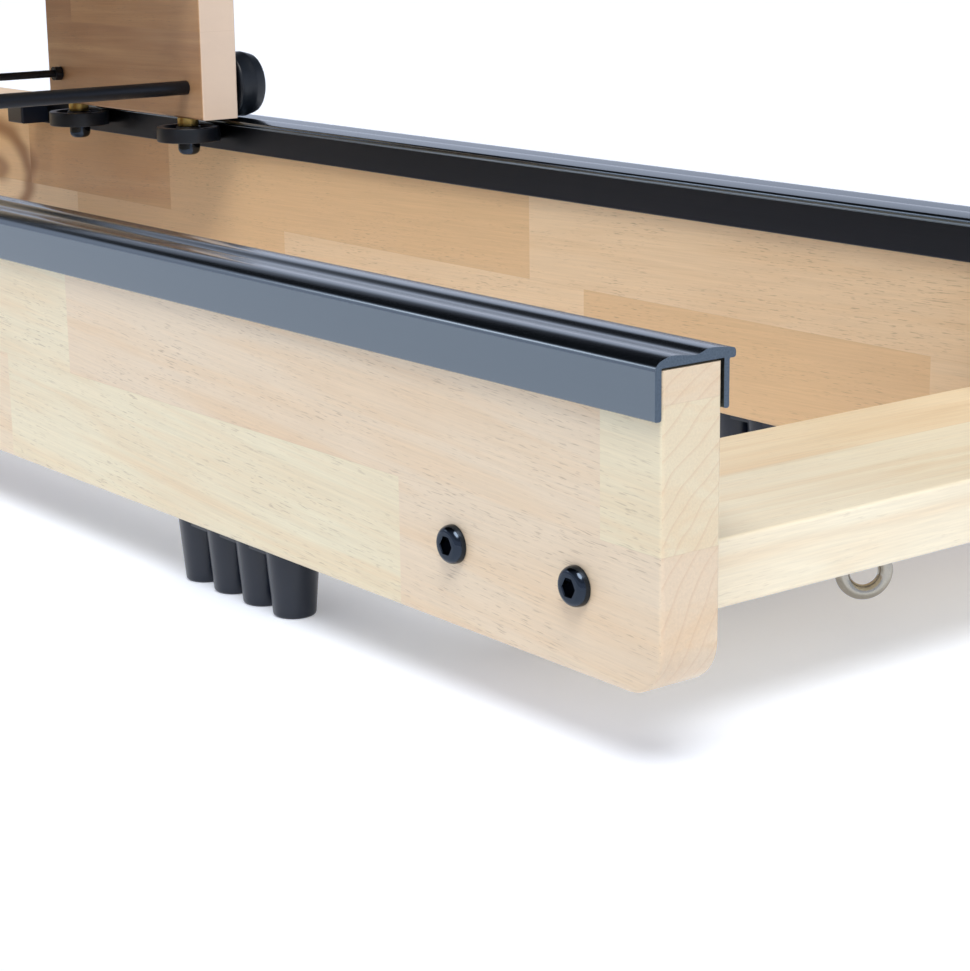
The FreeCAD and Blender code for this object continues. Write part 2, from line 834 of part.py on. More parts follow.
# Eye bolt in the rear board
def make_eye_bolt():
    """A ring bent from round wire, on a collar and a shank that goes up into the board."""
    wire = s.eye_wire_radius.value
    ring_radius = s.eye_outer_radius.value - wire
    y = rear.value + s.eye_from_rear.value
    board = rear_cross_low.value
    centre_z = board - s.eye_drop.value
    turns = [math.radians(step * 360 / WIRE_SIDES) for step in range(WIRE_SIDES)]
    section = [Vector(ring_radius + wire * math.cos(a), wire * math.sin(a), 0) for a in turns]
    face = Part.Face(Part.makePolygon(section + section[:1]))
    ring = face.revolve(Vector(0, 0, 0), Vector(0, 1, 0), 360)
    ring.translate(Vector(0, y, centre_z))
    low = centre_z + ring_radius
    shank = Part.makeCylinder(s.eye_shank_radius.value, board + s.eye_shank_in_wood.value - low,
                              Vector(0, y, low))
    collar = Part.makeCylinder(s.eye_flange_radius.value, s.eye_flange_height.value,
                               Vector(0, y, board - s.eye_flange_height.value))
    new_feature("eye_bolt", ring.fuse([shank, collar]).removeSplitter())


make_eye_bolt()


# Feet: a thin plate with four tapered studs under each rail
def make_foot(name, side, middle_y):
    body = new_body(name, exported=False)
    middle_x = (rail_inner + s.rail_thickness / 2) * side
    row = s.foot_pitch * (FOOT_STUDS - 1)
    half_x = s.foot_top_radius - s.foot_plate_inset
    half_y = row / 2 + half_x
    plate_low = s.foot_height - s.foot_plate_thickness
    pad(body, "Z", plate_low, s.foot_plate_thickness, draw_outline,
        box_points(middle_x - half_x, middle_x + half_x, middle_y - half_y, middle_y + half_y))
    round_over(body, s.foot_top_radius * 0.8, line_edges(body, "Z"))
    for i in range(FOOT_STUDS):
        centre = (middle_x, middle_y - row / 2 + s.foot_pitch * i, 0)
        turn(body, "Z", centre, [
            (0, 0), (0, s.foot_bottom_radius),
            (s.foot_height, s.foot_top_radius), (s.foot_height, 0)])
    return body


feet = []
for side_name, side in SIDES:
    feet.append(make_foot(side_name + "_rear_foot", side, rear + s.rear_foot_from_rear))
    feet.append(make_foot(side_name + "_front_foot", side, front - s.front_foot_from_front))
new_group("rubber_feet", feet)

# Footboard between the rails, from the middle board up to the rear posts
sine = sin_of(s.foot_angle)
cosine = cos_of(s.foot_angle)
face_start_z = middle_cross_top
board_inner = rail_inner - s.footboard_side_gap
heel_x = rail_inner - s.heel_from_rail
heel_slot_length = s.heel_travel * 2 + s.heel_slot_width + s.heel_slot_end_gap * 2
pin_y = s.heel_start + s.heel_length - s.heel_slot_from_toe - heel_slot_length / 2


def lay_on_footboard(body):
    """Turns a body modelled flat, with Y up the board and Z off its face, onto the footboard."""
    body.Placement = FreeCAD.Placement(Vector(0, face_start_y.value, face_start_z.value),
                                       FreeCAD.Rotation(Vector(1, 0, 0), s.foot_angle.value))
    bind(body, "Placement.Base.y", face_start_y)
    bind(body, "Placement.Base.z", face_start_z)
    bind(body, "Placement.Rotation.Angle", s.foot_angle)


def make_footboard():
    """A sloping board with one end level on the middle board and the other upright on the posts."""
    body = new_body("footboard")
    depth = s.footboard_thickness
    length = s.footboard_run / cosine
    pad(body, "X", -board_inner, board_inner * 2, draw_outline, [
        (0, 0), (length, 0),
        (length - depth * sine / cosine, -depth),
        (depth * cosine / sine, -depth)])
    for side in (-1, 1):
        drill(body, "Z", -s.heel_pin_in_board, s.heel_pin_in_board + s.overrun,
              [(heel_x * side, pin_y)], s.heel_pin_radius)
    lay_on_footboard(body)


make_footboard()


def make_heel_pin(name, side):
    """A pin through the slot of a heel cup, with a broad head that keeps the cup down."""
    body = new_body(name, exported=False)
    seat = s.slide_gap * 2 + s.heel_plate
    top = seat + s.heel_pin_head_height
    turn(body, "Z", (heel_x * side, pin_y, 0), [
        (-s.heel_pin_in_board, 0), (-s.heel_pin_in_board, s.heel_pin_radius),
        (seat, s.heel_pin_radius), (seat, s.heel_pin_head_radius),
        (top - s.edge_ease, s.heel_pin_head_radius),
        (top, s.heel_pin_head_radius - s.edge_ease), (top, 0)])
    lay_on_footboard(body)
    return body


new_group("heel_cup_pins", [make_heel_pin(side_name + "_heel_pin", side) for side_name, side in SIDES])


def make_heel_cup(side_name, side):
    body = new_body(side_name + "_heel_cup")
    middle = heel_x * side
    half = s.heel_width / 2
    low = s.heel_start
    high = low + s.heel_length
    top = s.heel_plate + s.heel_wall_height
    pad(body, "Z", s.slide_gap, top, draw_outline, box_points(middle - half, middle + half, low, high))
    round_over(body, half * 0.72, line_edges(body, "Z", y=(low,)))
    round_over(body, half * 0.3, line_edges(body, "Z", y=(high,)))
    inside = half - s.heel_wall
    floor = s.slide_gap + s.heel_plate
    cut(body, "Z", floor, s.heel_wall_height + s.overrun, draw_outline, [
        (middle - inside, low + s.heel_wall + half * 0.72),
        (middle - inside + half * 0.3, low + s.heel_wall + half * 0.26),
        (middle - half * 0.34, low + s.heel_wall),
        (middle + half * 0.34, low + s.heel_wall),
        (middle + inside - half * 0.3, low + s.heel_wall + half * 0.26),
        (middle + inside, low + s.heel_wall + half * 0.72),
        (middle + inside, high + s.overrun),
        (middle - inside, high + s.overrun)])
    ridge = floor + s.heel_toe_height
    cut(body, "X", middle - half - s.overrun, s.heel_width + s.overrun * 2, draw_outline, [
        (low + s.heel_wall_run, floor + s.heel_wall_height + s.overrun),
        (low + s.heel_wall_run + s.heel_wall_height, ridge),
        (high + s.overrun, ridge),
        (high + s.overrun, floor + s.heel_wall_height + s.overrun)])
    cut(body, "Z", -s.overrun, floor + s.overrun * 2, draw_slot, (middle, pin_y),
        heel_slot_length / 2 - s.heel_slot_width / 2, s.heel_slot_width / 2)
    lay_on_footboard(body)


for side_name, side in SIDES:
    make_heel_cup(side_name, side)


def draw_arch(sketch, middle, radius, leg, thickness):
    """A band that rises on two legs and closes in a half circle, as one closed outline."""
    up = Vector(0, 0, 1)
    centre = Vector(number_of(middle), number_of(leg), 0)
    outer = radius + thickness
    foot = Vector(number_of(middle), 0, 0)
    far = Vector(outer.value, 0, 0)
    near = Vector(radius.value, 0, 0)
    sketch.addGeometry(Part.ArcOfCircle(Part.Circle(centre, up, outer.value), 0, math.pi), False)
    sketch.addGeometry(Part.LineSegment(centre - far, foot - far), False)
    sketch.addGeometry(Part.LineSegment(foot - far, foot - near), False)
    sketch.addGeometry(Part.LineSegment(foot - near, centre - near), False)
    sketch.addGeometry(Part.ArcOfCircle(Part.Circle(centre, up, radius.value), 0, math.pi), False)
    sketch.addGeometry(Part.LineSegment(centre + near, foot + near), False)
    sketch.addGeometry(Part.LineSegment(foot + near, foot + far), False)
    sketch.addGeometry(Part.LineSegment(foot + far, centre + far), False)
    joins = ((0, 2, 1, 1), (1, 2, 2, 1), (2, 2, 3, 1), (3, 2, 4, 2),
             (4, 1, 5, 1), (5, 2, 6, 1), (6, 2, 7, 1), (7, 2, 0, 1))
    for join in joins:
        sketch.addConstraint(Sketcher.Constraint("Coincident", *join))
    for line in (1, 3, 5, 7):
        sketch.addConstraint(Sketcher.Constraint("Vertical", line))
    hold_point(sketch, 0, 3, (middle, leg))
    sketch.addConstraint(Sketcher.Constraint("Coincident", 0, 3, 4, 3))
    for arc, size in ((0, outer), (4, radius)):
        rule = Sketcher.Constraint("Radius", arc, size.value)
        bind(sketch, "Constraints[%d]" % sketch.addConstraint(rule), size)
    for arc, end in ((0, 1), (0, 2), (4, 1), (4, 2)):
        rule = Sketcher.Constraint("DistanceY", -1, 1, arc, end, leg.value)
        bind(sketch, "Constraints[%d]" % sketch.addConstraint(rule), leg)
    for line, end in ((1, 2), (3, 1), (5, 2), (7, 1)):
        sketch.addConstraint(Sketcher.Constraint("PointOnObject", line, end, -1))


def make_foot_strap(side_name, side):
    body = new_body(side_name + "_foot_strap", exported=False)
    radius = s.heel_width / 2 + s.foot_strap_clearance
    pad(body, "Y", s.strap_from_start - s.foot_strap_width / 2, s.foot_strap_width, draw_arch,
        heel_x * side, radius, s.foot_strap_leg, s.foot_strap_thickness)
    lay_on_footboard(body)
    return body


new_group("foot_straps", [make_foot_strap(side_name, side) for side_name, side in SIDES])

# Water tank: two bowls whose corners are bevelled in three steps
tank_bottom_radius = s.tank_body_radius - s.tank_bottom_taper
tank_top_radius = s.tank_body_radius - s.tank_top_taper
screw_circle = tank_flange_radius - s.tank_screw_from_edge
plug_offset = tank_top_radius - s.plug_from_top_edge
bearing_outer = s.shaft_radius + s.running_clearance + s.bearing_wall
shaft_hole = s.shaft_radius + s.running_clearance


def bevelled_corner(along, radius, size, away):
    """Three points in place of the corner between a bowl's flat end and its sloping wall."""
    return [(along, radius - size * 0.64),
            (size * 0.16 * away + along, radius - size * 0.1),
            (size * 0.59 * away + along, radius + size * 0.26)]


def make_lower_bowl():
    body = new_body("tank_lower_bowl")
    wall = s.tank_wall
    height = s.tank_lower_height
    boss_top = wall + s.bearing_length
    inside = bevelled_corner(wall, tank_bottom_radius - wall, s.tank_bottom_round - wall, 1)
    turn(body, "Z", (0, tank_y, tank_low), [
        (0, 0)] + bevelled_corner(0, tank_bottom_radius, s.tank_bottom_round, 1) + [
        (height - s.tank_flange_thickness, s.tank_body_radius),
        (height - s.tank_flange_thickness, tank_flange_radius),
        (height, tank_flange_radius),
        (height, s.tank_body_radius - wall)] + inside[::-1] + [
        (wall, s.tank_boss_radius),
        (boss_top, s.tank_boss_radius),
        (boss_top, bearing_outer),
        (wall, bearing_outer),
        (wall, 0)])
    drill_ring(body, tank_mid - s.tank_flange_thickness)


def drill_ring(body, low):
    """The ring of screw holes through a flange."""
    radius = s.tank_screw_radius + s.screw_hole_clearance
    sketch_centre = (0, tank_y)
    hole = cut(body, "Z", low - s.overrun, s.tank_flange_thickness + s.overrun * 2, draw_circle,
               (screw_circle, 0), radius, centre=sketch_centre)
    doc.recompute()
    polar_copies(body, hole, (hole.Profile[0], ["N_Axis"]), TANK_SCREWS)


def make_upper_bowl():
    body = new_body("tank_upper_bowl")
    wall = s.tank_wall
    height = s.tank_upper_height
    boss_top = height + s.tank_boss_height
    outside = bevelled_corner(height, tank_top_radius, s.tank_bottom_round, -1)
    turn(body, "Z", (0, tank_y, lid_low), [
        (0, s.tank_body_radius - wall),
        (0, tank_flange_radius),
        (s.tank_flange_thickness, tank_flange_radius),
        (s.tank_flange_thickness, s.tank_body_radius)] + outside[::-1] + [
        (height, s.tank_boss_radius),
        (boss_top, s.tank_boss_radius),
        (boss_top, bearing_outer),
        (height - wall, bearing_outer)] + bevelled_corner(
            height - wall, tank_top_radius - wall, s.tank_bottom_round - wall, -1))
    drill_ring(body, lid_low)
    cut(body, "Z", lid_top - wall - s.overrun, wall + s.overrun * 2, draw_circle,
        (plug_offset, 0), s.plug_hole_radius, centre=(0, tank_y))


make_lower_bowl()
make_upper_bowl()

seal = new_body("tank_seal")
seal_inner = s.tank_body_radius + s.seal_from_body
seal_outer = screw_circle - s.seal_from_screws
turn(seal, "Z", (0, tank_y, tank_mid), [
    (0, seal_inner), (0, seal_outer), (s.seal_thickness, seal_outer), (s.seal_thickness, seal_inner)])


def make_tank_screws():
    """Cap screws down through both flanges, each with a nut under the lower one."""
    top = lid_low.value + s.tank_flange_thickness.value
    bottom = tank_mid.value - s.tank_flange_thickness.value
    head = Part.makeCylinder(s.tank_screw_head_radius.value, s.tank_screw_head_height.value,
                             Vector(0, 0, top))
    nut_corner = s.tank_screw_head_radius.value
    turns = [i * math.pi / 3 for i in range(7)]
    nut_ring = [Vector(nut_corner * math.cos(a), nut_corner * math.sin(a), bottom) for a in turns]
    nut = Part.Face(Part.makePolygon(nut_ring)).extrude(Vector(0, 0, -s.tank_nut_height.value))
    shank_low = bottom - s.tank_nut_height.value
    shank = Part.makeCylinder(s.tank_screw_radius.value, top - shank_low, Vector(0, 0, shank_low))
    screw = head.fuse([shank, nut]).removeSplitter()
    screws = []
    for i in range(TANK_SCREWS):
        one = screw.copy()
        one.translate(Vector(screw_circle.value, 0, 0))
        one.rotate(Vector(0, 0, 0), Vector(0, 0, 1), 360 * i / TANK_SCREWS)
        one.translate(Vector(0, tank_y.value, 0))
        screws.append(one)
    new_feature("tank_screws", Part.makeCompound(screws))


make_tank_screws()


def make_fill_plug():
    body = new_body("fill_plug")
    x = plug_offset
    turn(body, "Z", (x, tank_y, lid_top), [
        (-s.plug_stem_depth, 0),
        (-s.plug_stem_depth, s.plug_hole_radius - s.plug_clearance),
        (s.slide_gap, s.plug_hole_radius - s.plug_clearance),
        (s.slide_gap, s.plug_cap_radius),
        (s.plug_cap_height, s.plug_cap_radius - s.edge_ease),
        (s.plug_cap_height, 0)])
    half = s.plug_grip_thickness / 2
    reach = s.plug_cap_radius * 0.8
    pad(body, "Z", lid_top + s.plug_cap_height, s.plug_grip_height, draw_outline,
        box_points(x - reach, x + reach, tank_y - half, tank_y + half))
    round_over(body, half * 0.8, line_edges(body, "Z"))


make_fill_plug()

# Paddle shaft and its bearings
lower_bearing_low = tank_low + s.tank_wall
upper_bearing_low = lid_top - s.tank_wall
upper_bearing_height = s.tank_wall + s.tank_boss_height
deck_bearing_low = deck_low - s.deck_bearing_height
shaft_low = lower_bearing_low + s.shaft_end_gap
shaft_top = deck_low - s.shaft_end_gap


def make_bearings():
    """Plain bushes in the floor and lid of the tank, and a flanged one under the deck."""
    def ring(z, height, outer):
        x, y = 0, tank_y.value
        solid = Part.makeCylinder(outer.value, height.value, Vector(x, y, z.value))
        hole = Part.makeCylinder(shaft_hole.value, height.value, Vector(x, y, z.value))
        return solid.cut(hole)
    rings = [ring(lower_bearing_low, s.bearing_length, bearing_outer),
             ring(upper_bearing_low, upper_bearing_height, bearing_outer),
             ring(deck_bearing_low, s.deck_bearing_height, s.deck_bearing_radius)]
    new_feature("shaft_bearings", Part.makeCompound(rings))


make_bearings()

shaft = new_body("paddle_shaft")
shaft_length = shaft_top - shaft_low
turn(shaft, "Z", (0, tank_y, shaft_low), [
    (0, 0), (0, s.shaft_radius), (shaft_length, s.shaft_radius), (shaft_length, 0)])

# Paddle: bowed blades round a hub that is fixed on the shaft
paddle_low = tank_low + s.tank_wall + s.paddle_floor_gap


def draw_bowed_blade(sketch, inner, outer, bow, thickness):
    """One blade seen from above: two arcs with the same ends, a thickness apart at the middle."""
    near = thickness / 2
    a = Vector(inner.value, -near.value, 0)
    b = Vector(outer.value, -near.value, 0)
    c = Vector(outer.value, near.value, 0)
    d = Vector(inner.value, near.value, 0)
    middle = (inner + outer) / 2
    low_mid = Vector(middle.value, -near.value - bow.value, 0)
    high_mid = Vector(middle.value, near.value - bow.value, 0)
    low_arc = sketch.addGeometry(Part.Arc(a, low_mid, b), False)
    tip = sketch.addGeometry(Part.LineSegment(b, c), False)
    high_arc = sketch.addGeometry(Part.Arc(d, high_mid, c), False)
    root = sketch.addGeometry(Part.LineSegment(d, a), False)
    sketch.addConstraint(Sketcher.Constraint("Coincident", low_arc, 2, tip, 1))
    sketch.addConstraint(Sketcher.Constraint("Coincident", tip, 2, high_arc, 2))
    sketch.addConstraint(Sketcher.Constraint("Coincident", high_arc, 1, root, 1))
    sketch.addConstraint(Sketcher.Constraint("Coincident", root, 2, low_arc, 1))
    hold_point(sketch, root, 2, (inner, -near))
    hold_point(sketch, tip, 1, (outer, -near))
    hold_point(sketch, tip, 2, (outer, near))
    hold_point(sketch, root, 1, (inner, near))
    half = (outer - inner) / 2
    radius = (half * half + bow * bow) / (bow * 2)
    for arc in (low_arc, high_arc):
        rule = Sketcher.Constraint("Radius", arc, radius.value)
        bind(sketch, "Constraints[%d]" % sketch.addConstraint(rule), radius)


def make_paddle():
    body = new_body("paddle")
    hub_low = paddle_low - (s.paddle_hub_height - s.paddle_height) / 2
    turn(body, "Z", (0, tank_y, hub_low), [
        (0, s.shaft_radius), (0, s.paddle_hub_radius),
        (s.paddle_hub_height, s.paddle_hub_radius), (s.paddle_hub_height, s.shaft_radius)])
    blade = pad(body, "Z", paddle_low, s.paddle_height, draw_bowed_blade,
                s.paddle_hub_radius - s.overrun, tank_bottom_radius - s.paddle_wall_gap, s.paddle_blade_bow,
                s.paddle_blade_thickness, centre=(0, tank_y))
    doc.recompute()
    polar_copies(body, blade, (blade.Profile[0], ["N_Axis"]), PADDLE_BLADES)


make_paddle()

# Spring can on the lid, with a spiral spring round the drum's arbor
def make_can():
    body = new_body("recoil_can")
    wall = s.can_wall
    bevel = wall * 0.6
    turn(body, "Z", (0, tank_y, can_low), [
        (0, s.arbor_radius),
        (0, s.can_radius),
        (s.can_height - bevel, s.can_radius),
        (s.can_height, s.can_radius - bevel),
        (s.can_height, s.arbor_radius + s.arbor_gap),
        (s.can_height - wall, s.arbor_radius + s.arbor_gap),
        (s.can_height - wall, s.can_radius - wall),
        (wall, s.can_radius - wall),
        (wall, s.arbor_radius)])


make_can()


def spiral_band(first, step, half_turns, thickness, width, hand):
    """A flat band wound in half circles about two centres, so each half turn steps out evenly."""
    inner_edges = []
    outer_edges = []
    ends = []
    for i in range(half_turns):
        centre = step / 2 if i % 2 else -step / 2
        radius = first + step * i - step / 2
        sign = -1 if i % 2 else 1
        for edges, r in ((inner_edges, radius), (outer_edges, radius + thickness)):
            start = Vector(centre + sign * r, 0, 0)
            middle = Vector(centre, sign * r * hand, 0)
            end = Vector(centre - sign * r, 0, 0)
            edges.append(Part.Arc(start, middle, end).toShape())
            ends.append((start, end))
    begin = Part.LineSegment(ends[0][0], ends[1][0]).toShape()
    finish = Part.LineSegment(ends[-2][1], ends[-1][1]).toShape()
    wire = Part.Wire(Part.__sortEdges__(inner_edges + [finish] + outer_edges + [begin]))
    return Part.Face(wire).extrude(Vector(0, 0, width))


def make_recoil_spring():
    """The spring: its outer end lies at the can's wall, its inner end at the arbor."""
    thickness = s.spring_thickness.value
    outermost = s.can_radius.value - s.can_wall.value - s.spring_gap.value - thickness
    innermost = s.arbor_radius.value + s.spring_from_arbor.value
    step = (outermost - innermost) / SPRING_HALF_TURNS
    band = spiral_band(innermost + step, step, SPRING_HALF_TURNS, thickness, s.spring_width.value, 1)
    part = new_feature("recoil_spring", band)
    part.Placement = FreeCAD.Placement(
        Vector(0, tank_y.value, can_low.value + s.can_wall.value + s.spring_gap.value), FreeCAD.Rotation())
    print("recoil spring: least gap between turns", round(step * 2 - thickness, 2))


make_recoil_spring()

# Strap drum with its one-way clutch, and the strap wound on it
winding_start = s.drum_radius + s.slide_gap
strap_run_radius = winding_start + s.winding_pitch / 2 * WINDING_HALF_TURNS + s.strap_thickness / 2
strap_low = drum_low + s.drum_flange + s.strap_side_gap
strap_middle = strap_low + s.strap_width / 2


def make_drum():
    body = new_body("strap_drum")
    base = can_low + s.slide_gap
    low = drum_low - base
    flange = s.drum_radius + s.drum_flange_rise
    turn(body, "Z", (0, tank_y, base), [
        (0, s.clutch_radius),
        (0, s.arbor_radius),
        (low, s.arbor_radius),
        (low, flange),
        (low + s.drum_flange, flange),
        (low + s.drum_flange, s.drum_radius),
        (low + s.drum_flange + drum_inside, s.drum_radius),
        (low + s.drum_flange + drum_inside, flange),
        (low + drum_height, flange),
        (low + drum_height, s.clutch_radius)])


make_drum()

clutch = new_body("one_way_clutch")
clutch_low = drum_low + (drum_height - s.clutch_height) / 2
turn(clutch, "Z", (0, tank_y, clutch_low), [
    (0, shaft_hole), (0, s.clutch_radius),
    (s.clutch_height, s.clutch_radius), (s.clutch_height, shaft_hole)])

# Guide roller where the strap leaves the deck, in a steel bracket
roller_y = deck_rear + s.roller_from_deck_edge
roller_x = s.roller_radius + s.slide_gap + s.strap_thickness / 2
bracket_low = strap_low - s.bracket_margin - s.bracket_plate
roller_height = s.strap_width + s.strap_side_gap * 2


def make_bracket():
    body = new_body("strap_bracket")
    plate = s.bracket_plate
    wall_x = roller_x + s.roller_radius + s.bracket_wall_gap
    open_x = -s.bracket_open_side
    pad(body, "Y", roller_y - s.bracket_length / 2, s.bracket_length, draw_outline, [
        (open_x, bracket_low),
        (wall_x + plate, bracket_low),
        (wall_x + plate, deck_low),
        (open_x, deck_low),
        (open_x, deck_low - plate),
        (wall_x, deck_low - plate),
        (wall_x, bracket_low + plate),
        (open_x, bracket_low + plate)])
    pad(body, "Z", bracket_low + plate, deck_low - plate * 2 - bracket_low, draw_circle,
        (roller_x, roller_y), s.roller_pin_radius)


make_bracket()

roller = new_body("strap_roller")
bore = s.roller_pin_radius + s.running_clearance
turn(roller, "Z", (roller_x, roller_y, strap_middle - roller_height / 2), [
    (0, bore), (0, s.roller_radius), (roller_height, s.roller_radius), (roller_height, bore)])

# Handle
handle_y = deck_rear - s.handle_before_deck
handle_z = strap_middle


def along_x(half_length, radius):
    return [(-half_length, 0), (-half_length, radius), (half_length, radius), (half_length, 0)]


handle = new_body("handle_bar")
turn(handle, "X", (0, handle_y, handle_z), along_x(s.handle_length / 2, s.handle_radius))


def make_grips():
    """Two foam sleeves over the ends of the bar, closed at the tips."""
    sleeves = []
    inner = s.cradle_spacing.value / 2 + s.cradle_thickness.value + s.grip_from_cradle.value
    length = s.handle_length.value / 2 + s.grip_end.value - inner
    for side in (-1, 1):
        direction = Vector(side, 0, 0)
        place = Vector(side * inner, handle_y.value, handle_z.value)
        outside = Part.makeCylinder(s.grip_radius.value, length, place, direction)
        ends = [edge for edge in outside.Edges if edge.Curve.TypeId == "Part::GeomCircle"]
        outside = outside.makeChamfer(s.grip_radius.value - s.handle_radius.value - s.overrun.value, ends)
        depth = length - s.grip_end.value
        inside = Part.makeCylinder(s.handle_radius.value, depth, place, direction)
        sleeves.append(outside.cut(inside))
    new_feature("handle_grips", Part.makeCompound(sleeves))


make_grips()

strap_end_y = handle_y + s.handle_radius + s.clip_wall + s.slide_gap


def make_clip():
    """A collar round the bar with two cheeks that pinch the end of the strap."""
    body = new_body("strap_clip")
    outer = s.handle_radius + s.clip_wall
    turn(body, "X", (0, handle_y, handle_z), [
        (-s.clip_half_width, s.handle_radius), (-s.clip_half_width, outer),
        (s.clip_half_width, outer), (s.clip_half_width, s.handle_radius)])
    slot = s.strap_thickness / 2 + s.slide_gap
    for side in (-1, 1):
        low = slot if side > 0 else -(slot + s.clip_cheek)
        half = s.strap_width / 2
        pad(body, "X", low, s.clip_cheek, draw_outline,
            box_points(handle_y + s.handle_radius + s.overrun, handle_y + outer + s.clip_reach,
                       handle_z - half, handle_z + half))


make_clip()


def make_pull_strap():
    """Flat strap wound on the drum, then round the guide roller and straight to the handle."""
    thickness = s.strap_thickness.value
    a = strap_run_radius.value
    r = s.roller_radius.value + s.slide_gap.value + thickness / 2
    drum = Vector(0, tank_y.value, 0)
    wheel = Vector(r, roller_y.value, 0)
    span = wheel - drum
    away = math.atan2(span.y, span.x)
    turn_angle = math.acos((a + r) / span.Length)
    angle = away + turn_angle
    out = Vector(math.cos(angle), math.sin(angle), 0)
    along = Vector(math.sin(angle), -math.cos(angle), 0)
    start = drum + out * a + along * s.slide_gap.value
    meet = wheel - out * r
    leave = Vector(0, roller_y.value, 0)
    half_way = (wheel - meet).normalize() + (wheel - leave).normalize()
    half_way.normalize()
    end = Vector(0, strap_end_y.value, 0)
    half = thickness / 2

    def side_line(offset):
        """The path moved sideways by offset, away from the roller when it is positive."""
        shift = out * -offset
        arc_r = r + offset
        arc_start = wheel - out * arc_r
        arc_mid = wheel - half_way * arc_r
        arc_end = wheel + Vector(-arc_r, 0, 0)
        return [
            (start + shift, arc_start),
            (arc_start, arc_mid, arc_end),
            (arc_end, Vector(-offset, end.y, 0))]

    edges = []
    ends = []
    for offset in (half, -half):
        for points in side_line(offset):
            if len(points) == 2:
                edges.append(Part.LineSegment(*points).toShape())
            else:
                edges.append(Part.Arc(*points).toShape())
        ends.append((side_line(offset)[0][0], side_line(offset)[2][1]))
    edges.append(Part.LineSegment(ends[0][0], ends[1][0]).toShape())
    edges.append(Part.LineSegment(ends[0][1], ends[1][1]).toShape())
    wire = Part.Wire(Part.__sortEdges__(edges))
    band = Part.Face(wire).extrude(Vector(0, 0, s.strap_width.value))
    part = new_feature("pull_strap", band)
    part.Placement = FreeCAD.Placement(Vector(0, 0, strap_low.value), FreeCAD.Rotation())
    run = (meet - start).Length + (end - leave).Length + r * half_way.getAngle(Vector(1, 0, 0)) * 2
    print("pull strap: run from drum to handle", round(run, 1))
    step = s.winding_pitch.value / 2
    wound = spiral_band(winding_start.value + step, step, WINDING_HALF_TURNS, thickness,
                        s.strap_width.value, -1)
    winding = new_feature("strap_winding", wound)
    winding.Placement = FreeCAD.Placement(Vector(0, tank_y.value, strap_low.value),
                                          FreeCAD.Rotation(Vector(0, 0, 1), math.degrees(angle)))
    print("strap winding: least gap between turns", round(s.winding_pitch.value - thickness, 2))


make_pull_strap()


def make_cradles():
    """Two plates under the deck whose open cups the handle is drawn into."""
    cup = s.handle_radius + s.cradle_gap
    outer = cup + s.cradle_rim
    plates = []
    for side in (-1, 1):
        low = low_x(side, s.cradle_spacing / 2, s.cradle_thickness).value
        y = handle_y.value
        z = handle_z.value
        top = deck_low.value
        back = deck_rear.value + s.cradle_foot_length.value
        bulge = math.sqrt(0.5)
        edges = [
            Part.LineSegment(Vector(low, y, z - outer.value), Vector(low, y, z - cup.value)).toShape(),
            Part.Arc(Vector(low, y, z - cup.value), Vector(low, y + cup.value, z),
                     Vector(low, y, z + cup.value)).toShape(),
            Part.LineSegment(Vector(low, y, z + cup.value), Vector(low, y, top)).toShape(),
            Part.LineSegment(Vector(low, y, top), Vector(low, back, top)).toShape(),
            Part.LineSegment(Vector(low, back, top), Vector(low, back, top - s.cradle_rim.value)).toShape(),
            Part.LineSegment(Vector(low, back, top - s.cradle_rim.value),
                             Vector(low, y + outer.value * bulge, z - outer.value * bulge)).toShape(),
            Part.Arc(Vector(low, y + outer.value * bulge, z - outer.value * bulge),
                     Vector(low, y + outer.value * math.sin(math.pi / 8),
                            z - outer.value * math.cos(math.pi / 8)),
                     Vector(low, y, z - outer.value)).toShape(),
        ]
        wire = Part.Wire(Part.__sortEdges__(edges))
        plates.append(Part.Face(wire).extrude(Vector(s.cradle_thickness.value, 0, 0)))
    new_feature("handle_cradles", Part.makeCompound(plates))


make_cradles()

# Seat carriage
board_low = crest + s.carriage_above_crest
board_top = board_low + s.carriage_height
carriage_outer = rail_inner - s.carriage_side_gap
carriage_inner = carriage_outer - s.carriage_board
carriage_start = carriage_y - s.carriage_length / 2
wheel_z = crest + s.track_gap + s.wheel_radius
wheel_x = rail_outer - s.cap_inner_crest_in - s.cap_inner_crest_width / 2
rear_axle_y = carriage_start + s.axle_from_board_end
front_axle_y = carriage_start + s.carriage_length - s.axle_from_board_end
inner_leg_face = rail_outer - s.rail_thickness - s.cap_inner_gap - s.cap_inner_wall
guide_x = inner_leg_face - s.track_gap - s.wheel_radius
guide_top = crest - s.guide_below_crest
guide_low = guide_top - s.guide_thickness
guide_ys = pair_about(carriage_y, s.carriage_length - s.guide_from_board_end * 2)


def make_carriage_board(side_name, side):
    body = new_body(side_name + "_carriage_board")
    low = low_x(side, carriage_inner, s.carriage_board)
    pad(body, "X", low, s.carriage_board, draw_outline,
        box_points(carriage_start, carriage_start + s.carriage_length, board_low, board_top))
    round_over(body, s.edge_ease, line_edges(body, "Z") + line_edges(body, "Y", z=(board_low,)))
    for y, radius in ((rear_axle_y, s.rear_axle_radius), (front_axle_y, s.front_axle_radius)):
        drill(body, "X", low - s.overrun, s.carriage_board + s.overrun * 2, [(y, wheel_z)], radius)
    for y in guide_ys:
        drill(body, "Z", board_low - s.overrun, s.guide_bolt_in_board + s.overrun,
              [(guide_x * side, y)], s.guide_bolt_radius)


for side_name, side in SIDES:
    make_carriage_board(side_name, side)

nut_start = wheel_x + s.wheel_outer_reach + s.wheel_outer_hub_proud + s.track_gap
axle_half = nut_start + s.axle_nut_length


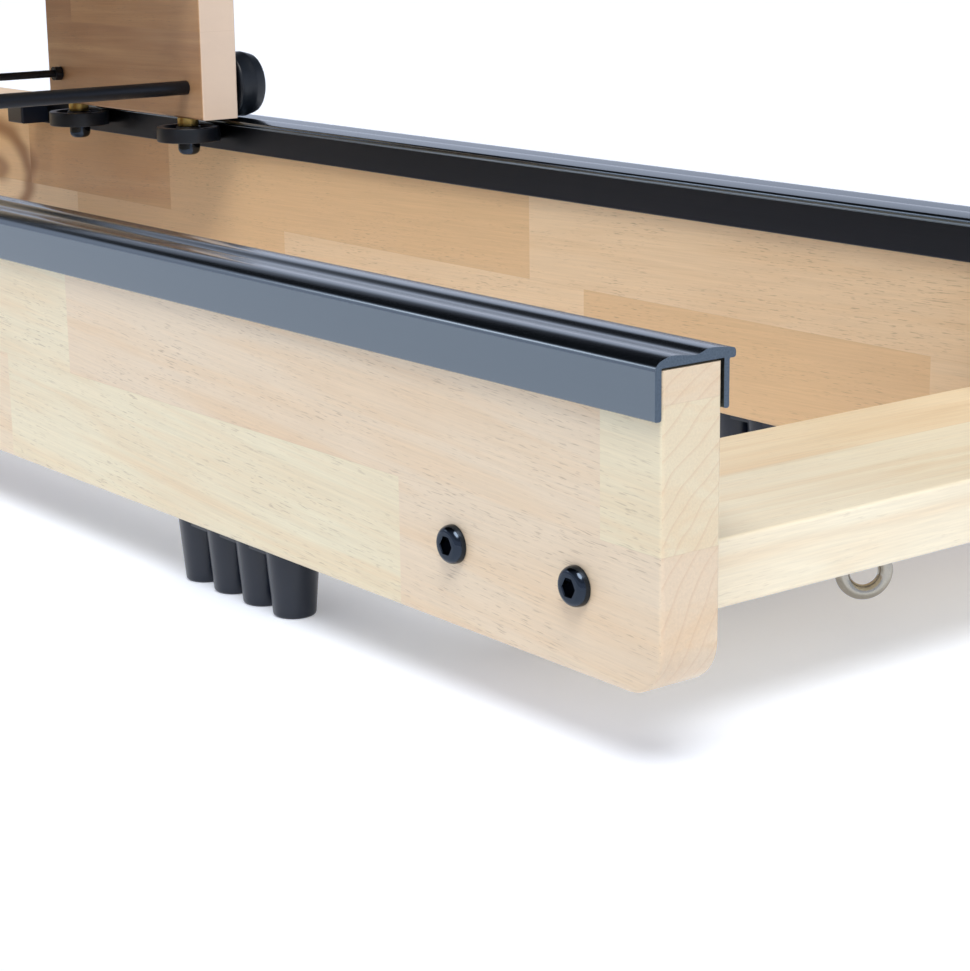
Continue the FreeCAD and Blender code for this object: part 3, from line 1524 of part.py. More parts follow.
def make_axle(name, y, radius, middle_radius, middle_half):
    """A rod through both side boards, thicker in the middle, with a nut on each end."""
    body = new_body(name)
    nut = s.axle_nut_radius
    ease = s.edge_ease
    turn(body, "X", (0, y, wheel_z), [
        (-axle_half, 0), (-axle_half, nut - ease), (-axle_half + ease, nut), (-nut_start, nut),
        (-nut_start, radius), (-middle_half, radius), (-middle_half, middle_radius),
        (middle_half, middle_radius), (middle_half, radius), (nut_start, radius),
        (nut_start, nut), (axle_half - ease, nut), (axle_half, nut - ease), (axle_half, 0)])
    return body


make_axle("rear_axle", rear_axle_y, s.rear_axle_radius, s.rear_axle_sleeve, carriage_inner)


def make_front_axle():
    """The front rod is thin, with a lock nut against the inside of each board."""
    body = new_body("front_axle")
    nut = s.axle_nut_radius
    rod = s.front_axle_radius
    ease = s.edge_ease
    lock = s.front_inner_nut_radius
    lock_in = carriage_inner - s.front_inner_nut_length
    half = [(lock_in, rod), (lock_in, lock), (carriage_inner, lock), (carriage_inner, rod),
            (nut_start, rod), (nut_start, nut), (axle_half - ease, nut), (axle_half, nut - ease),
            (axle_half, 0)]
    other = [(-along, radius) for along, radius in reversed(half)]
    turn(body, "X", (0, front_axle_y, wheel_z), other + half)


make_front_axle()


def wheel_profile(bore):
    """Half section of a seat wheel, from the seat's side outwards: its tread fits the crest, then tapers."""
    rim = s.wheel_radius + s.wheel_rim_rise
    flat = s.wheel_inner_reach - s.wheel_edge
    crest_half = s.cap_inner_crest_width / 2
    hub = s.wheel_hub_radius
    recess = s.wheel_recess_outer
    inner = s.wheel_inner_reach
    outer = s.wheel_outer_reach
    shoulder = s.wheel_outer_radius - s.wheel_edge / 2
    return [
        (-inner - s.wheel_hub_proud, bore),
        (-inner - s.wheel_hub_proud, hub),
        (-inner + s.wheel_recess, hub),
        (-inner + s.wheel_recess, recess),
        (-inner, recess),
        (-inner, rim - s.wheel_edge),
        (-flat, rim),
        (-crest_half, s.wheel_radius),
        (crest_half, s.wheel_radius),
        (flat, rim),
        (outer - s.wheel_edge, s.wheel_outer_radius),
        (outer, shoulder),
        (outer, recess),
        (outer - s.wheel_recess, recess),
        (outer - s.wheel_recess, hub),
        (outer + s.wheel_outer_hub_proud, hub),
        (outer + s.wheel_outer_hub_proud, bore)]


def make_seat_wheels(name, y, bore_of):
    """Both wheels on one axle, as two separate solids of one body pair."""
    bore = bore_of + s.running_clearance
    wheels = []
    for side in (-1, 1):
        points = [Vector((along.value + wheel_x.value) * side, radius.value, 0)
                  for along, radius in wheel_profile(bore)]
        face = Part.Face(Part.makePolygon(points + [points[0]]))
        solid = face.revolve(Vector(0, 0, 0), Vector(1, 0, 0), 360)
        wheels.append(solid)
    part = new_feature(name, Part.makeCompound(wheels))
    part.Placement = FreeCAD.Placement(Vector(0, y.value, wheel_z.value), FreeCAD.Rotation())


make_seat_wheels("rear_seat_wheels", rear_axle_y, s.rear_axle_radius)
make_seat_wheels("front_seat_wheels", front_axle_y, s.front_axle_radius)


def make_guide_roller(name, side, y):
    """A flat wheel on an upright bolt that runs along the inside of the rail cap."""
    body = new_body(name)
    bore = s.guide_bolt_radius + s.running_clearance
    ease = s.wheel_edge
    rim = s.wheel_radius
    height = s.guide_thickness
    turn(body, "Z", (guide_x * side, y, guide_low), [
        (0, bore), (0, rim - ease), (ease, rim), (height - ease, rim), (height, rim - ease),
        (height, s.wheel_recess_outer), (height - s.wheel_recess, s.wheel_recess_outer),
        (height - s.wheel_recess, s.wheel_hub_radius), (height, s.wheel_hub_radius), (height, bore)])


for side_name, side in SIDES:
    for end_name, y in zip(("rear", "front"), guide_ys):
        make_guide_roller("%s_%s_guide_roller" % (side_name, end_name), side, y)


def make_guide_bolts():
    """An upright bolt for each guide roller, with its nut below the roller."""
    bolts = []
    nut_top = guide_low.value - s.slide_gap.value
    nut_low = nut_top - s.guide_nut_height.value
    top = board_low.value + s.guide_bolt_in_board.value
    for side in (-1, 1):
        for y in guide_ys:
            place = Vector(guide_x.value * side, y.value, nut_low)
            nut = Part.makeCylinder(s.guide_nut_radius.value, s.guide_nut_height.value, place)
            rod = Part.makeCylinder(s.guide_bolt_radius.value, top - nut_low, place)
            low_edges = [e for e in nut.Edges if e.Curve.TypeId == "Part::GeomCircle"
                         and same(e.Curve.Center.z, nut_low)]
            bolts.append(nut.makeChamfer(s.guide_nut_bevel.value, low_edges).fuse(rod).removeSplitter())
    new_feature("guide_roller_bolts", Part.makeCompound(bolts))


make_guide_bolts()

seat_board = new_body("seat_board")
half_board = s.carriage_length / 2 + s.seat_board_end_overhang
seat_half_width = carriage_outer + s.seat_board_side_overhang
pad(seat_board, "Z", board_top, s.seat_board_thickness, draw_outline,
    box_points(-seat_half_width, seat_half_width, carriage_y - half_board, carriage_y + half_board))
round_over(seat_board, s.seat_board_corner, line_edges(seat_board, "Z"))

cushion_low = board_top + s.seat_board_thickness


def cushion_section(z, inset):
    """A rounded oblong whose straight sides are drawn in between the corners."""
    half_x = seat_half_width.value + s.cushion_side_overhang.value - inset
    half_y = half_board.value + s.cushion_end_overhang.value - inset
    r = s.cushion_corner.value - inset * 0.5
    pull = s.cushion_draw_in.value
    lean = r * (1 - math.sqrt(0.5))
    middle_y = carriage_y.value
    edges = []
    corners = ((1, -1), (1, 1), (-1, 1), (-1, -1))

    def place(x, y):
        return Vector(x, middle_y + y, z)

    for i, (sx, sy) in enumerate(corners):
        start_on_x = i % 2 == 0
        a = place(sx * (half_x - r), sy * half_y)
        b = place(sx * half_x, sy * (half_y - r))
        mid = place(sx * (half_x - lean), sy * (half_y - lean))
        if not start_on_x:
            a, b = b, a
        edges.append(Part.Arc(a, mid, b).toShape())
        nx, ny = corners[(i + 1) % 4]
        if start_on_x:
            c = place(nx * half_x, ny * (half_y - r))
            pulled = place(sx * (half_x - pull), 0)
        else:
            c = place(nx * (half_x - r), ny * half_y)
            pulled = place(0, sy * (half_y - pull))
        edges.append(Part.Arc(b, pulled, c).toShape())
    return Part.Wire(edges)


CUSHION_RISE_SHARES = (0, 0.18, 0.5, 0.76, 0.92, 1.0)
CUSHION_INSET_SHARES = (0.08, 0.0, 0.0, 0.12, 0.42, 1.1)


def make_cushion():
    """A crowned pad: straight bands between sections that close in towards the top."""
    height = s.cushion_height.value
    sections = []
    for rise, inset in zip(CUSHION_RISE_SHARES, CUSHION_INSET_SHARES):
        sections.append(cushion_section(cushion_low.value + height * rise, height * inset))
    new_feature("seat_cushion", Part.makeLoft(sections, True, True))


make_cushion()


# Stops for the guide rollers: blocks on the rear board, and blocks on the caps' inner legs in front
def make_seat_stops():
    stops = []
    width = s.stop_width.value
    rear_low = rear_cross_low.value + s.cross_thickness.value
    rear_top = guide_top.value - s.rear_stop_below_guide_top.value
    rear_inner = inner_leg_face - s.track_gap - s.stop_width
    rear_length = s.rear_stop_length.value
    front_inner = inner_leg_face - s.stop_width
    front_length = s.front_stop_length.value
    front_low = rail_top.value - s.cap_inner_leg.value + s.front_stop_above_leg_end.value
    for side in (-1, 1):
        rear_place = Vector(low_x(side, rear_inner, s.stop_width).value,
                            rear.value + s.rear_stop_from_rear.value, rear_low)
        front_place = Vector(low_x(side, front_inner, s.stop_width).value,
                             cap_front.value - front_length, front_low)
        for block in (Part.makeBox(width, rear_length, rear_top - rear_low, rear_place),
                      Part.makeBox(width, front_length, s.front_stop_height.value, front_place)):
            stops.append(block.makeFillet(s.edge_ease.value, block.Edges[:4]))
    new_feature("seat_stops", Part.makeCompound(stops))


make_seat_stops()

# Transport wheels on the outside of the rails
def transport_profile():
    """Half section of a transport wheel, measured outwards from the rail's face."""
    bore = s.transport_bolt_radius + s.running_clearance
    gap = s.transport_gap
    far = gap + s.transport_width
    ease = s.edge_ease
    recess = s.transport_width / 4
    return [(gap, bore), (gap, s.transport_radius - ease), (gap + ease, s.transport_radius),
            (far - ease, s.transport_radius), (far, s.transport_radius - ease),
            (far, s.transport_radius * 0.75), (far - recess, s.transport_radius * 0.7),
            (far - recess, s.transport_head_radius + ease), (far, s.transport_head_radius), (far, bore)]


def make_transport_wheels():
    wheels = []
    for side in (-1, 1):
        points = [Vector((rail_outer.value + along.value) * side, radius.value, 0)
                  for along, radius in transport_profile()]
        face = Part.Face(Part.makePolygon(points + [points[0]]))
        wheels.append(face.revolve(Vector(0, 0, 0), Vector(1, 0, 0), 360))
    part = new_feature("transport_wheels", Part.makeCompound(wheels))
    part.Placement = FreeCAD.Placement(Vector(0, transport_y.value, transport_z.value),
                                       FreeCAD.Rotation())


make_transport_wheels()

# Monitor arm, fixed on the deck
monitor_y = deck_rear + s.monitor_from_deck_edge
hinge_z = deck_top + s.monitor_hinge_height


def make_monitor_arm():
    body = new_body("monitor_arm")
    half = s.arm_base_length / 2
    pad(body, "Z", deck_top, s.arm_base_thickness, draw_outline,
        box_points(-s.arm_base_half_width, s.arm_base_half_width, monitor_y - half, monitor_y + half))
    round_over(body, s.arm_half_width * 0.6, line_edges(body, "Z"))
    pad(body, "Z", deck_top, s.monitor_hinge_height, draw_outline,
        box_points(-s.arm_half_width, s.arm_half_width,
                   monitor_y - s.arm_half_depth, monitor_y + s.arm_half_depth))
    pin_half = s.knuckle_half_length + s.ear_gap * 2 + s.ear_thickness
    knuckle = s.knuckle_half_length
    pin = s.hinge_pin_radius
    turn(body, "X", (0, monitor_y, hinge_z), [
        (-pin_half, 0), (-pin_half, pin), (-knuckle, pin), (-knuckle, s.knuckle_radius),
        (knuckle, s.knuckle_radius), (knuckle, pin), (pin_half, pin), (pin_half, 0)])


make_monitor_arm()


def lay_on_hinge(part):
    """Leans a piece modelled upright about the hinge back to the reading angle."""
    part.Placement = FreeCAD.Placement(Vector(0, monitor_y.value, hinge_z.value),
                                       FreeCAD.Rotation(Vector(1, 0, 0), -s.monitor_tilt.value))
    bind(part, "Placement.Base.y", monitor_y)
    bind(part, "Placement.Base.z", hinge_z)
    bind(part, "Placement.Rotation.Angle", -s.monitor_tilt)


face_y = -(s.monitor_standoff + s.monitor_depth)
button_xs = pair_about(as_size(0), s.button_spacing)


def make_monitor_case():
    body = new_body("monitor_case")
    pad(body, "Y", face_y, s.monitor_depth, draw_outline,
        box_points(-s.monitor_half_width, s.monitor_half_width,
                   -s.monitor_below_hinge, s.monitor_above_hinge))
    round_over(body, s.monitor_corner, line_edges(body, "Y"))
    cut(body, "Y", face_y - s.overrun, s.screen_depth + s.overrun, draw_outline,
        box_points(-s.screen_half_width, s.screen_half_width,
                   s.screen_low, s.screen_low + s.screen_height))
    for x in button_xs:
        cut(body, "Y", face_y - s.overrun, s.button_depth + s.overrun, draw_circle,
            (x, -s.button_below_hinge), s.button_radius + s.button_clearance)
    for side in (-1, 1):
        low = low_x(side, s.knuckle_half_length + s.ear_gap, s.ear_thickness)
        radius = s.knuckle_radius
        pad(body, "X", low, s.ear_thickness, draw_outline,
            box_points(-s.monitor_standoff - s.overrun, as_size(0), -radius, radius))
        pad(body, "X", low, s.ear_thickness, draw_circle, (0, 0), radius)
        cut(body, "X", low - s.overrun, s.ear_thickness + s.overrun * 2, draw_circle, (0, 0),
            s.hinge_pin_radius + s.running_clearance)
    lay_on_hinge(body)


make_monitor_case()

screen = new_body("monitor_screen")
pad(screen, "Y", face_y, s.screen_depth, draw_outline,
    box_points(-s.screen_half_width, s.screen_half_width, s.screen_low, s.screen_low + s.screen_height))
lay_on_hinge(screen)

for button_name, x in zip(("mode_button", "reset_button"), button_xs):
    button = new_body(button_name)
    pad(button, "Y", face_y - s.button_proud,
        s.button_depth + s.button_proud - s.button_travel - s.button_clearance,
        draw_circle, (x, -s.button_below_hinge), s.button_radius)
    lay_on_hinge(button)

# Check every object, then write one file for each piece
doc.recompute()
failed = [item.Name for item in doc.Objects
          if "Invalid" in item.State or "Error" in item.State]
for part in PARTS:
    if part.Shape.isNull() or not part.Shape.isValid():
        failed.append(part.Label)
if failed:
    raise RuntimeError("these did not build: " + ", ".join(failed))
for part in PARTS:
    part.Shape.exportStep("parts/%s.step" % part.Label)
print("pieces written:", len(PARTS), "with", sum(len(p.Shape.Solids) for p in PARTS), "solids")
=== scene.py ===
# %% [markdown]
# # Dressing a water rowing machine
#
# The CAD model gives every solid its place. This notebook gives each piece the surface of the real one:
# lacquered hardwood, black anodised aluminium, rubber, steel, webbing and clear plastic. Where a CAD solid
# is too plain to look at from close by, a finer surface takes its place in the same spot.

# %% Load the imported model
import math
import random

import bmesh
import bpy
import numpy as np
from mathutils import Matrix, Vector


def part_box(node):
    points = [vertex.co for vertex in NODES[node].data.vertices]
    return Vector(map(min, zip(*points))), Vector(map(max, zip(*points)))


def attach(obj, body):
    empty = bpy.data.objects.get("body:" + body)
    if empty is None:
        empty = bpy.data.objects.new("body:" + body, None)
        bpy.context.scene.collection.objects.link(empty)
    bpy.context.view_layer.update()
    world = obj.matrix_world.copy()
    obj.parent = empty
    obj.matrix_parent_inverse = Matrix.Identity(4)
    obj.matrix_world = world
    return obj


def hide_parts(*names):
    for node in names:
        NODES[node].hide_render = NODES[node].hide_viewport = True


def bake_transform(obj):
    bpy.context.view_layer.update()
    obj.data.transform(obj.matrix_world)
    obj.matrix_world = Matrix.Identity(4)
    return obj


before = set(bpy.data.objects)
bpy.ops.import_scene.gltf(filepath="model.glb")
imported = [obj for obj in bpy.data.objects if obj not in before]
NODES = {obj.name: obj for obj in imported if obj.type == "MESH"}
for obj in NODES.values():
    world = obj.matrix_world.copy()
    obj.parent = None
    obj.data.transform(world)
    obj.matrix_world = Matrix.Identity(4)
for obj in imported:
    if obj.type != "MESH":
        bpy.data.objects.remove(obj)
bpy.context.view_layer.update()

MM = 0.001
SIDES = (("left", -1), ("right", 1))

# %% [markdown]
# ## Colours and nodes
#
# Colours are written as they are read from a picture, as sRGB hex, and one function turns them into the
# linear values that the shader works with. One small function adds any node, sets it and links it. Sums and
# layers of colour take many such nodes in a row, so they are written as lists of steps.

# %% Helpers for colours and shader nodes
def linear(hex_colour):
    """sRGB hex to linear: c/12.92 below 0.04045, else ((c + 0.055)/1.055) to the power 2.4."""
    values = [int(hex_colour[i:i + 2], 16) / 255 for i in (0, 2, 4)]
    return [c / 12.92 if c <= 0.04045 else ((c + 0.055) / 1.055) ** 2.4 for c in values] + [1.0]


def add(tree, kind, inputs=(), **settings):
    """Adds a node: settings are its properties; inputs are values or outputs to link, in order or by name."""
    made = tree.nodes.new("ShaderNode" + kind)
    for key, value in settings.items():
        setattr(made, key, value)
    for key, value in inputs.items() if isinstance(inputs, dict) else enumerate(inputs):
        if isinstance(value, bpy.types.NodeSocket):
            tree.links.new(value, made.inputs[key])
        else:
            made.inputs[key].default_value = value
    return made


def formula(tree, *steps):
    """Arithmetic in steps of (operation, numbers or outputs); None stands for the last step's result."""
    result = None
    for operation, *values in steps:
        values = [result if value is None else value for value in values]
        result = add(tree, "Math", values, operation=operation).outputs[0]
    return result


def layered(tree, colour, *layers):
    """Lays colours over one another: each layer is (how it mixes, its amount, its colour or an output)."""
    for mode, amount, over in layers:
        values = {0: amount, 6: colour, 7: linear(over) if isinstance(over, str) else over}
        colour = add(tree, "Mix", values, data_type="RGBA", blend_type=mode).outputs[2]
    return colour


def new_material(name, **values):
    """A material with its Principled shader's own sockets set; returns material, node tree and shader."""
    material = bpy.data.materials.new(name)
    material.use_nodes = True
    tree = material.node_tree
    shader = tree.nodes["Principled BSDF"]
    for key, value in values.items():
        shader.inputs[key.replace("_", " ")].default_value = value
    return material, tree, shader


def link_surface(tree, shader, colour, height, strength, depth, roughness=None):
    """Links the colour, the bump of a height (depth in mm) and the roughness to the shader."""
    bump = add(tree, "Bump", {"Strength": strength, "Distance": depth * MM, "Height": height}).outputs[0]
    for key, source in (("Base Color", colour), ("Normal", bump), ("Roughness", roughness)):
        if source is not None:
            tree.links.new(source, shader.inputs[key])


print("helpers ready")

# %% [markdown]
# ## Surfaces from numbers
#
# A piece that is made here starts as a grid of points: a profile turned round an axis, a section carried
# along a path, or any other function of two parameters. NumPy works the whole grid out at once, and one
# function turns it into a mesh with closed seams and faces that point outwards. All sizes are in millimetres
# until that last step, because that is how the parts are measured on the bench.

# %% Helpers for surfaces
AXES = "XYZ"
ACROSS_AXES = {"X": (1, 2), "Y": (2, 0), "Z": (0, 1)}
MERGE_MM = 0.004


def box_mm(node):
    """The lowest and the highest corner of a CAD node, in mm."""
    low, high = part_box(node)
    return np.array(low) / MM, np.array(high) / MM


def middle_of(node):
    """The middle of a CAD node's box, in mm."""
    low, high = box_mm(node)
    return (low + high) / 2


def patch(points, around=True, capped=False):
    """Quads between neighbours of a grid of points; around joins the last column to the first."""
    rows, columns = points.shape[:2]
    i, j = np.meshgrid(np.arange(rows - 1), np.arange(columns if around else columns - 1), indexing="ij")
    beside = (j + 1) % columns
    corners = (i * columns + j, i * columns + beside, (i + 1) * columns + beside, (i + 1) * columns + j)
    faces = np.stack(corners, axis=-1).reshape(-1, 4).tolist()
    if capped:
        faces += [list(range(columns))[::-1], list(range((rows - 1) * columns, rows * columns))]
    return points.reshape(-1, 3), faces


def soften(corners, radius, steps=4, closed=True):
    """Rounds each corner with a parabola between the two points that lie radius, or half a side, from it."""
    corner = np.array(corners, float)
    reach = np.broadcast_to(np.reshape(radius, (-1, 1)), (len(corner), 1))

    def toward(other):
        side = other - corner
        length = np.maximum(np.linalg.norm(side, axis=1, keepdims=True), 1e-6)
        return (corner + side / length * np.minimum(reach, length / 2))[:, None]

    share = np.linspace(0, 1, steps + 1)[None, :, None]
    before = toward(np.roll(corner, 1, axis=0))
    after = toward(np.roll(corner, -1, axis=0))
    curve = before * (1 - share) ** 2 + 2 * share * (1 - share) * corner[:, None] + after * share ** 2
    if not closed:
        curve[0] = corner[0]
        curve[-1] = corner[-1]
    return curve.reshape(-1, corner.shape[1])


def rounded(corners, steps, closed=True):
    """The same for corners that each bring their own rounding as a third number."""
    corners = np.array(corners, float)
    return soften(corners[:, :2], corners[:, 2], steps, closed)


def turned(profile, axis, centre, segments=48, hexagon=0.0):
    """A profile of (distance along the axis, radius) turned round it; hexagon bends circles into hexagons."""
    along, radius = np.array(profile, float).T
    angle = np.linspace(0, 2 * math.pi, segments, endpoint=False)
    share = np.broadcast_to(np.reshape(hexagon, (-1, 1)), (len(along), 1))
    flat = math.cos(math.pi / 6) / np.cos(np.mod(angle, math.pi / 3) - math.pi / 6)
    reach = radius[:, None] * (1 - share + share * flat)
    first, second = ACROSS_AXES[axis]
    points = np.zeros((len(along), segments, 3))
    points[..., AXES.index(axis)] = along[:, None]
    points[..., first] = reach * np.cos(angle)
    points[..., second] = reach * np.sin(angle)
    return patch(points + np.array(centre, float))


def looped(profile):
    """Closes a profile that goes round a bore by coming back to its first point."""
    return np.vstack([profile, profile[:1]])


def mirrored(profile, side, offset=0.0):
    """A profile moved along its axis and turned to the given side."""
    profile = np.array(profile, float)
    profile[:, 0] = (profile[:, 0] + offset) * side
    return profile


def rod(low, high, radius, axis, centre, segments=48, edge=0.0, steps=3):
    """A closed rod between two places along an axis; edge rounds its rims."""
    profile = [(low, 0), (low, radius), (high, radius), (high, 0)]
    return turned(soften(profile, edge, steps, closed=False) if edge else profile, axis, centre, segments)


def extruded(outline, axis, low, high):
    """An outline carried straight along an axis."""
    first, second = ACROSS_AXES[axis]
    points = np.zeros((2, len(outline), 3))
    points[..., AXES.index(axis)] = [[low], [high]]
    points[..., first] = outline[:, 0]
    points[..., second] = outline[:, 1]
    return patch(points, capped=True)


def in_scene(name, data):
    """An object for its data, linked to the scene."""
    made = bpy.data.objects.new(name, data)
    bpy.context.scene.collection.objects.link(made)
    return made


def closed_mesh(name, points, faces, merge=MERGE_MM):
    """A mesh in metres from points in mm: doubles merged, faces outwards."""
    mesh = bpy.data.meshes.new(name)
    mesh.from_pydata(points * MM, [], faces)
    shell = bmesh.new()
    shell.from_mesh(mesh)
    if merge:
        bmesh.ops.remove_doubles(shell, verts=shell.verts, dist=merge * MM)
    bmesh.ops.recalc_face_normals(shell, faces=shell.faces)
    shell.to_mesh(mesh)
    shell.free()
    return mesh


def place_piece(name, mesh, material, sharp, body, replaced):
    """Smooth shading up to an angle, the material, the CAD body and the CAD nodes that it stands for."""
    mesh.polygons.foreach_set("use_smooth", np.ones(len(mesh.polygons), bool))
    mesh.set_sharp_from_angle(angle=math.radians(sharp))
    mesh.materials.append(material)
    piece = in_scene(name, mesh)
    if body:
        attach(piece, body)
    if replaced:
        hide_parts(*replaced)
    return piece


def new_piece(name, shells, material, body, replaced=(), sharp=38):
    """Joins closed shells into one piece."""
    whole = bmesh.new()
    for points, faces in shells:
        shell = closed_mesh("shell", points, faces)
        whole.from_mesh(shell)
        bpy.data.meshes.remove(shell)
    mesh = bpy.data.meshes.new(name)
    whole.to_mesh(mesh)
    whole.free()
    print(name, len(mesh.polygons), "faces")
    return place_piece(name, mesh, material, sharp, body, replaced)


def read(rows, key):
    """One vector of each vertex or face, as an array."""
    flat = np.empty(len(rows) * 3, np.float32)
    rows.foreach_get(key, flat)
    return flat.reshape(-1, 3)


rail_low, rail_high = box_mm("left_rail")
RAIL_OUTER, RAIL_INNER = -rail_low[0], -rail_high[0]
RAIL_TOP, RAIL_BOTTOM = rail_high[2], rail_low[2]
print("rail from", rail_low[1], "to", rail_high[1], "top at", round(float(RAIL_TOP), 2))

# %% [markdown]
# ## Camera
#
# The camera stands low, close to the rear left corner, and looks along the machine. Its place, its turn and
# its focal length were found by fitting the two parallel rails to the photo, so they are numbers, not a
# taste. The lens is long for such a close view, which keeps the rails nearly parallel.

# %% Camera at the photo's angle
CAMERA_PLACE = (-0.7211, -1.6478, 0.3156)
YAW_RIGHT = math.radians(37.65)
PITCH = math.radians(-14.31)
ROLL = math.radians(-0.773)
FOCAL_PIXELS = 2404.4
IMAGE_PIXELS = 971
SENSOR_MM = 36.0

forward = np.array([math.sin(YAW_RIGHT) * math.cos(PITCH), math.cos(YAW_RIGHT) * math.cos(PITCH),
                    math.sin(PITCH)])
level_right = np.array([math.cos(YAW_RIGHT), -math.sin(YAW_RIGHT), 0.0])
level_up = np.cross(level_right, forward)
right = math.cos(ROLL) * level_right + math.sin(ROLL) * level_up
up = np.cross(right, forward)

camera_data = bpy.data.cameras.new("photo_camera")
camera_data.sensor_width = SENSOR_MM
camera_data.lens = SENSOR_MM * FOCAL_PIXELS / IMAGE_PIXELS
camera_data.clip_start = 0.02
camera_data.clip_end = 200
camera = in_scene("photo_camera", camera_data)
camera.matrix_world = Matrix([*np.column_stack([right, up, -forward, CAMERA_PLACE]).tolist(), (0, 0, 0, 1)])
bpy.context.scene.camera = camera
print("lens", round(camera_data.lens, 1), "mm")

# %% [markdown]
# ## Studio
#
# A white sweep with one broad light high on the left, which leaves a soft grey shadow right under the
# machine. The floor glows a little, so it stays white out to the horizon. The world is white on the light's
# side and along the horizon, but dim high up beyond the machine: black aluminium and gloss steel mirror that
# dark, and the bright horizon draws the light bands down the caps. A weak panel beyond the machine adds the
# fine line on the caps' rolled edge and the spots on the bolt heads.

# %% Floor, world and lights
FLOOR_HALF = 150.0
FLOOR_GLOW = 0.26
WORLD_STRENGTH = 0.50
WORLD_TINT = "E2EBFF"
DIM_TOWARDS = (0.55, 0.72, 0.42)
DIM_RANGE = (-0.15, 0.62)
DIM_SHARE = 0.05
HORIZON = (0.36, 0.50)
HORIZON_SHARE = 1.75
PANEL_PLACE, PANEL_TARGET = (-2.15, 1.80, 1.30), (-0.2, -0.9, 0.1)


def make_floor():
    """A plain white floor, far larger than the view."""
    mesh = bpy.data.meshes.new("studio_floor")
    corners = [(x * FLOOR_HALF, y * FLOOR_HALF, 0) for x, y in ((-1, -1), (1, -1), (1, 1), (-1, 1))]
    mesh.from_pydata(corners, [], [(0, 1, 2, 3)])
    material, tree, shader = new_material("matt white paint", Base_Color=linear("DDE3EE"), Roughness=0.9,
                                          Specular_IOR_Level=0.1, Emission_Color=linear("FAFBFF"),
                                          Emission_Strength=FLOOR_GLOW)
    mesh.materials.append(material)
    in_scene("studio_floor", mesh)


def make_world():
    """A white world, dim high up beyond the machine and white again in a low band all round."""
    world = bpy.data.worlds.new("studio_white")
    world.use_nodes = True
    tree = world.node_tree
    where = add(tree, "TexCoord").outputs["Generated"]
    toward = add(tree, "VectorMath", (where, DIM_TOWARDS), operation="DOT_PRODUCT").outputs["Value"]
    bright = add(tree, "MapRange", (toward, *DIM_RANGE, 1.0, DIM_SHARE), interpolation_type="SMOOTHSTEP")
    height = add(tree, "SeparateXYZ", [where]).outputs[2]
    low = add(tree, "MapRange", (height, *HORIZON, HORIZON_SHARE, 0.0), interpolation_type="SMOOTHSTEP")
    both = formula(tree, ("MAXIMUM", bright.outputs[0], low.outputs[0]))
    background = tree.nodes["Background"]
    tree.links.new(layered(tree, linear(WORLD_TINT), ("MULTIPLY", 1.0, both)), background.inputs["Color"])
    background.inputs["Strength"].default_value = WORLD_STRENGTH
    bpy.context.scene.world = world


def make_light(name, kind, direction, energy, **settings):
    """A light that shines in a direction."""
    data = bpy.data.lights.new(name, kind)
    data.energy = energy
    for key, value in settings.items():
        setattr(data, key, value)
    light = in_scene(name, data)
    light.rotation_euler = Vector(direction).to_track_quat("-Z", "Y").to_euler()
    return light


make_floor()
make_world()
make_light("key_light", "SUN", (0.26, 0.34, -0.90), 2.8, angle=math.radians(36), color=linear("FFFDF8")[:3])
panel = make_light("edge_light", "AREA", Vector(PANEL_TARGET) - Vector(PANEL_PLACE), 2.5, shape="RECTANGLE",
                   size=0.7, size_y=0.45)
panel.location = PANEL_PLACE
bpy.context.scene.view_settings.view_transform = "Standard"
print("studio ready")

# %% [markdown]
# ## Hardwood
#
# The boards are rubberwood, glued up from finger-jointed strips about 55 mm wide. Each block in a strip comes
# from another tree, so the tint jumps from block to block: cream, peach or pink. Along the fibre run short
# dark pores, about 6 mm long and 0.4 mm wide. On an end, the growth rings show as arcs. A clear satin lacquer
# lies over all of it. The material reads the object's own coordinates, so the grain stays at its real size.
# The carriage boards' dark tints are painted shade, and the far rail's darker, warmer tints are in part
# painted shade.

# %% Rubberwood, lacquered
CREAM, PEACH, PINK = "E5DABB", "E3D0B2", "E2CEB2"
FAIR, HONEY, BROWN = "EBCDA6", "E0BA8B", "CB9C6C"
CLOUD_TINT, WARM_TINT, PORE_TINT, RING_TINT = "DDB98F", "D2A271", "8F745B", "C9A07C"
GLUE_TINT, KNOT_TINT = "A98663", "8A5C35"
GLUE_HALF = 0.22
SEED_SPREAD = 3100.0


def block_plan(seed, low, high, tints, shortest=180, longest=420):
    """Block starts in mm along the fibre with a tint each, drawn from a fixed seed."""
    draw = random.Random(seed)
    plan = []
    start = low
    while start < high:
        choices = [t for t in tints if not plan or t != plan[-1][1]]
        plan.append((start, draw.choice(choices)))
        start += draw.uniform(shortest, longest)
    return plan


def block_tints(tree, rows, along, wide, low, high):
    """The tint of each block, row by row, and a line where two rows meet."""
    share = add(tree, "MapRange", (along, low, high)).outputs[0]
    tint, glue_line, lower_edge = linear(CREAM), 0.0, -1e6
    for top, blocks in rows:
        ramp = add(tree, "ValToRGB", [share])
        ramp.color_ramp.interpolation = "CONSTANT"
        stops = ramp.color_ramp.elements
        stops.remove(stops[1])
        stops[0].color = linear(blocks[0][1])
        for start, colour in blocks[1:]:
            stops.new((start - low) / (high - low)).color = linear(colour)
        above = formula(tree, ("GREATER_THAN", wide, lower_edge))
        tint = layered(tree, tint, ("MIX", above, ramp.outputs["Color"]))
        glue_line = formula(tree, ("SUBTRACT", wide, lower_edge), ("ABSOLUTE", None),
                            ("LESS_THAN", None, GLUE_HALF), ("MAXIMUM", None, glue_line))
        lower_edge = top
    return tint, glue_line


def distance(tree, a, b):
    """The square root of a squared plus b squared."""
    squared = formula(tree, ("MULTIPLY", b, b))
    return formula(tree, ("MULTIPLY", a, a), ("ADD", None, squared), ("SQRT", None))


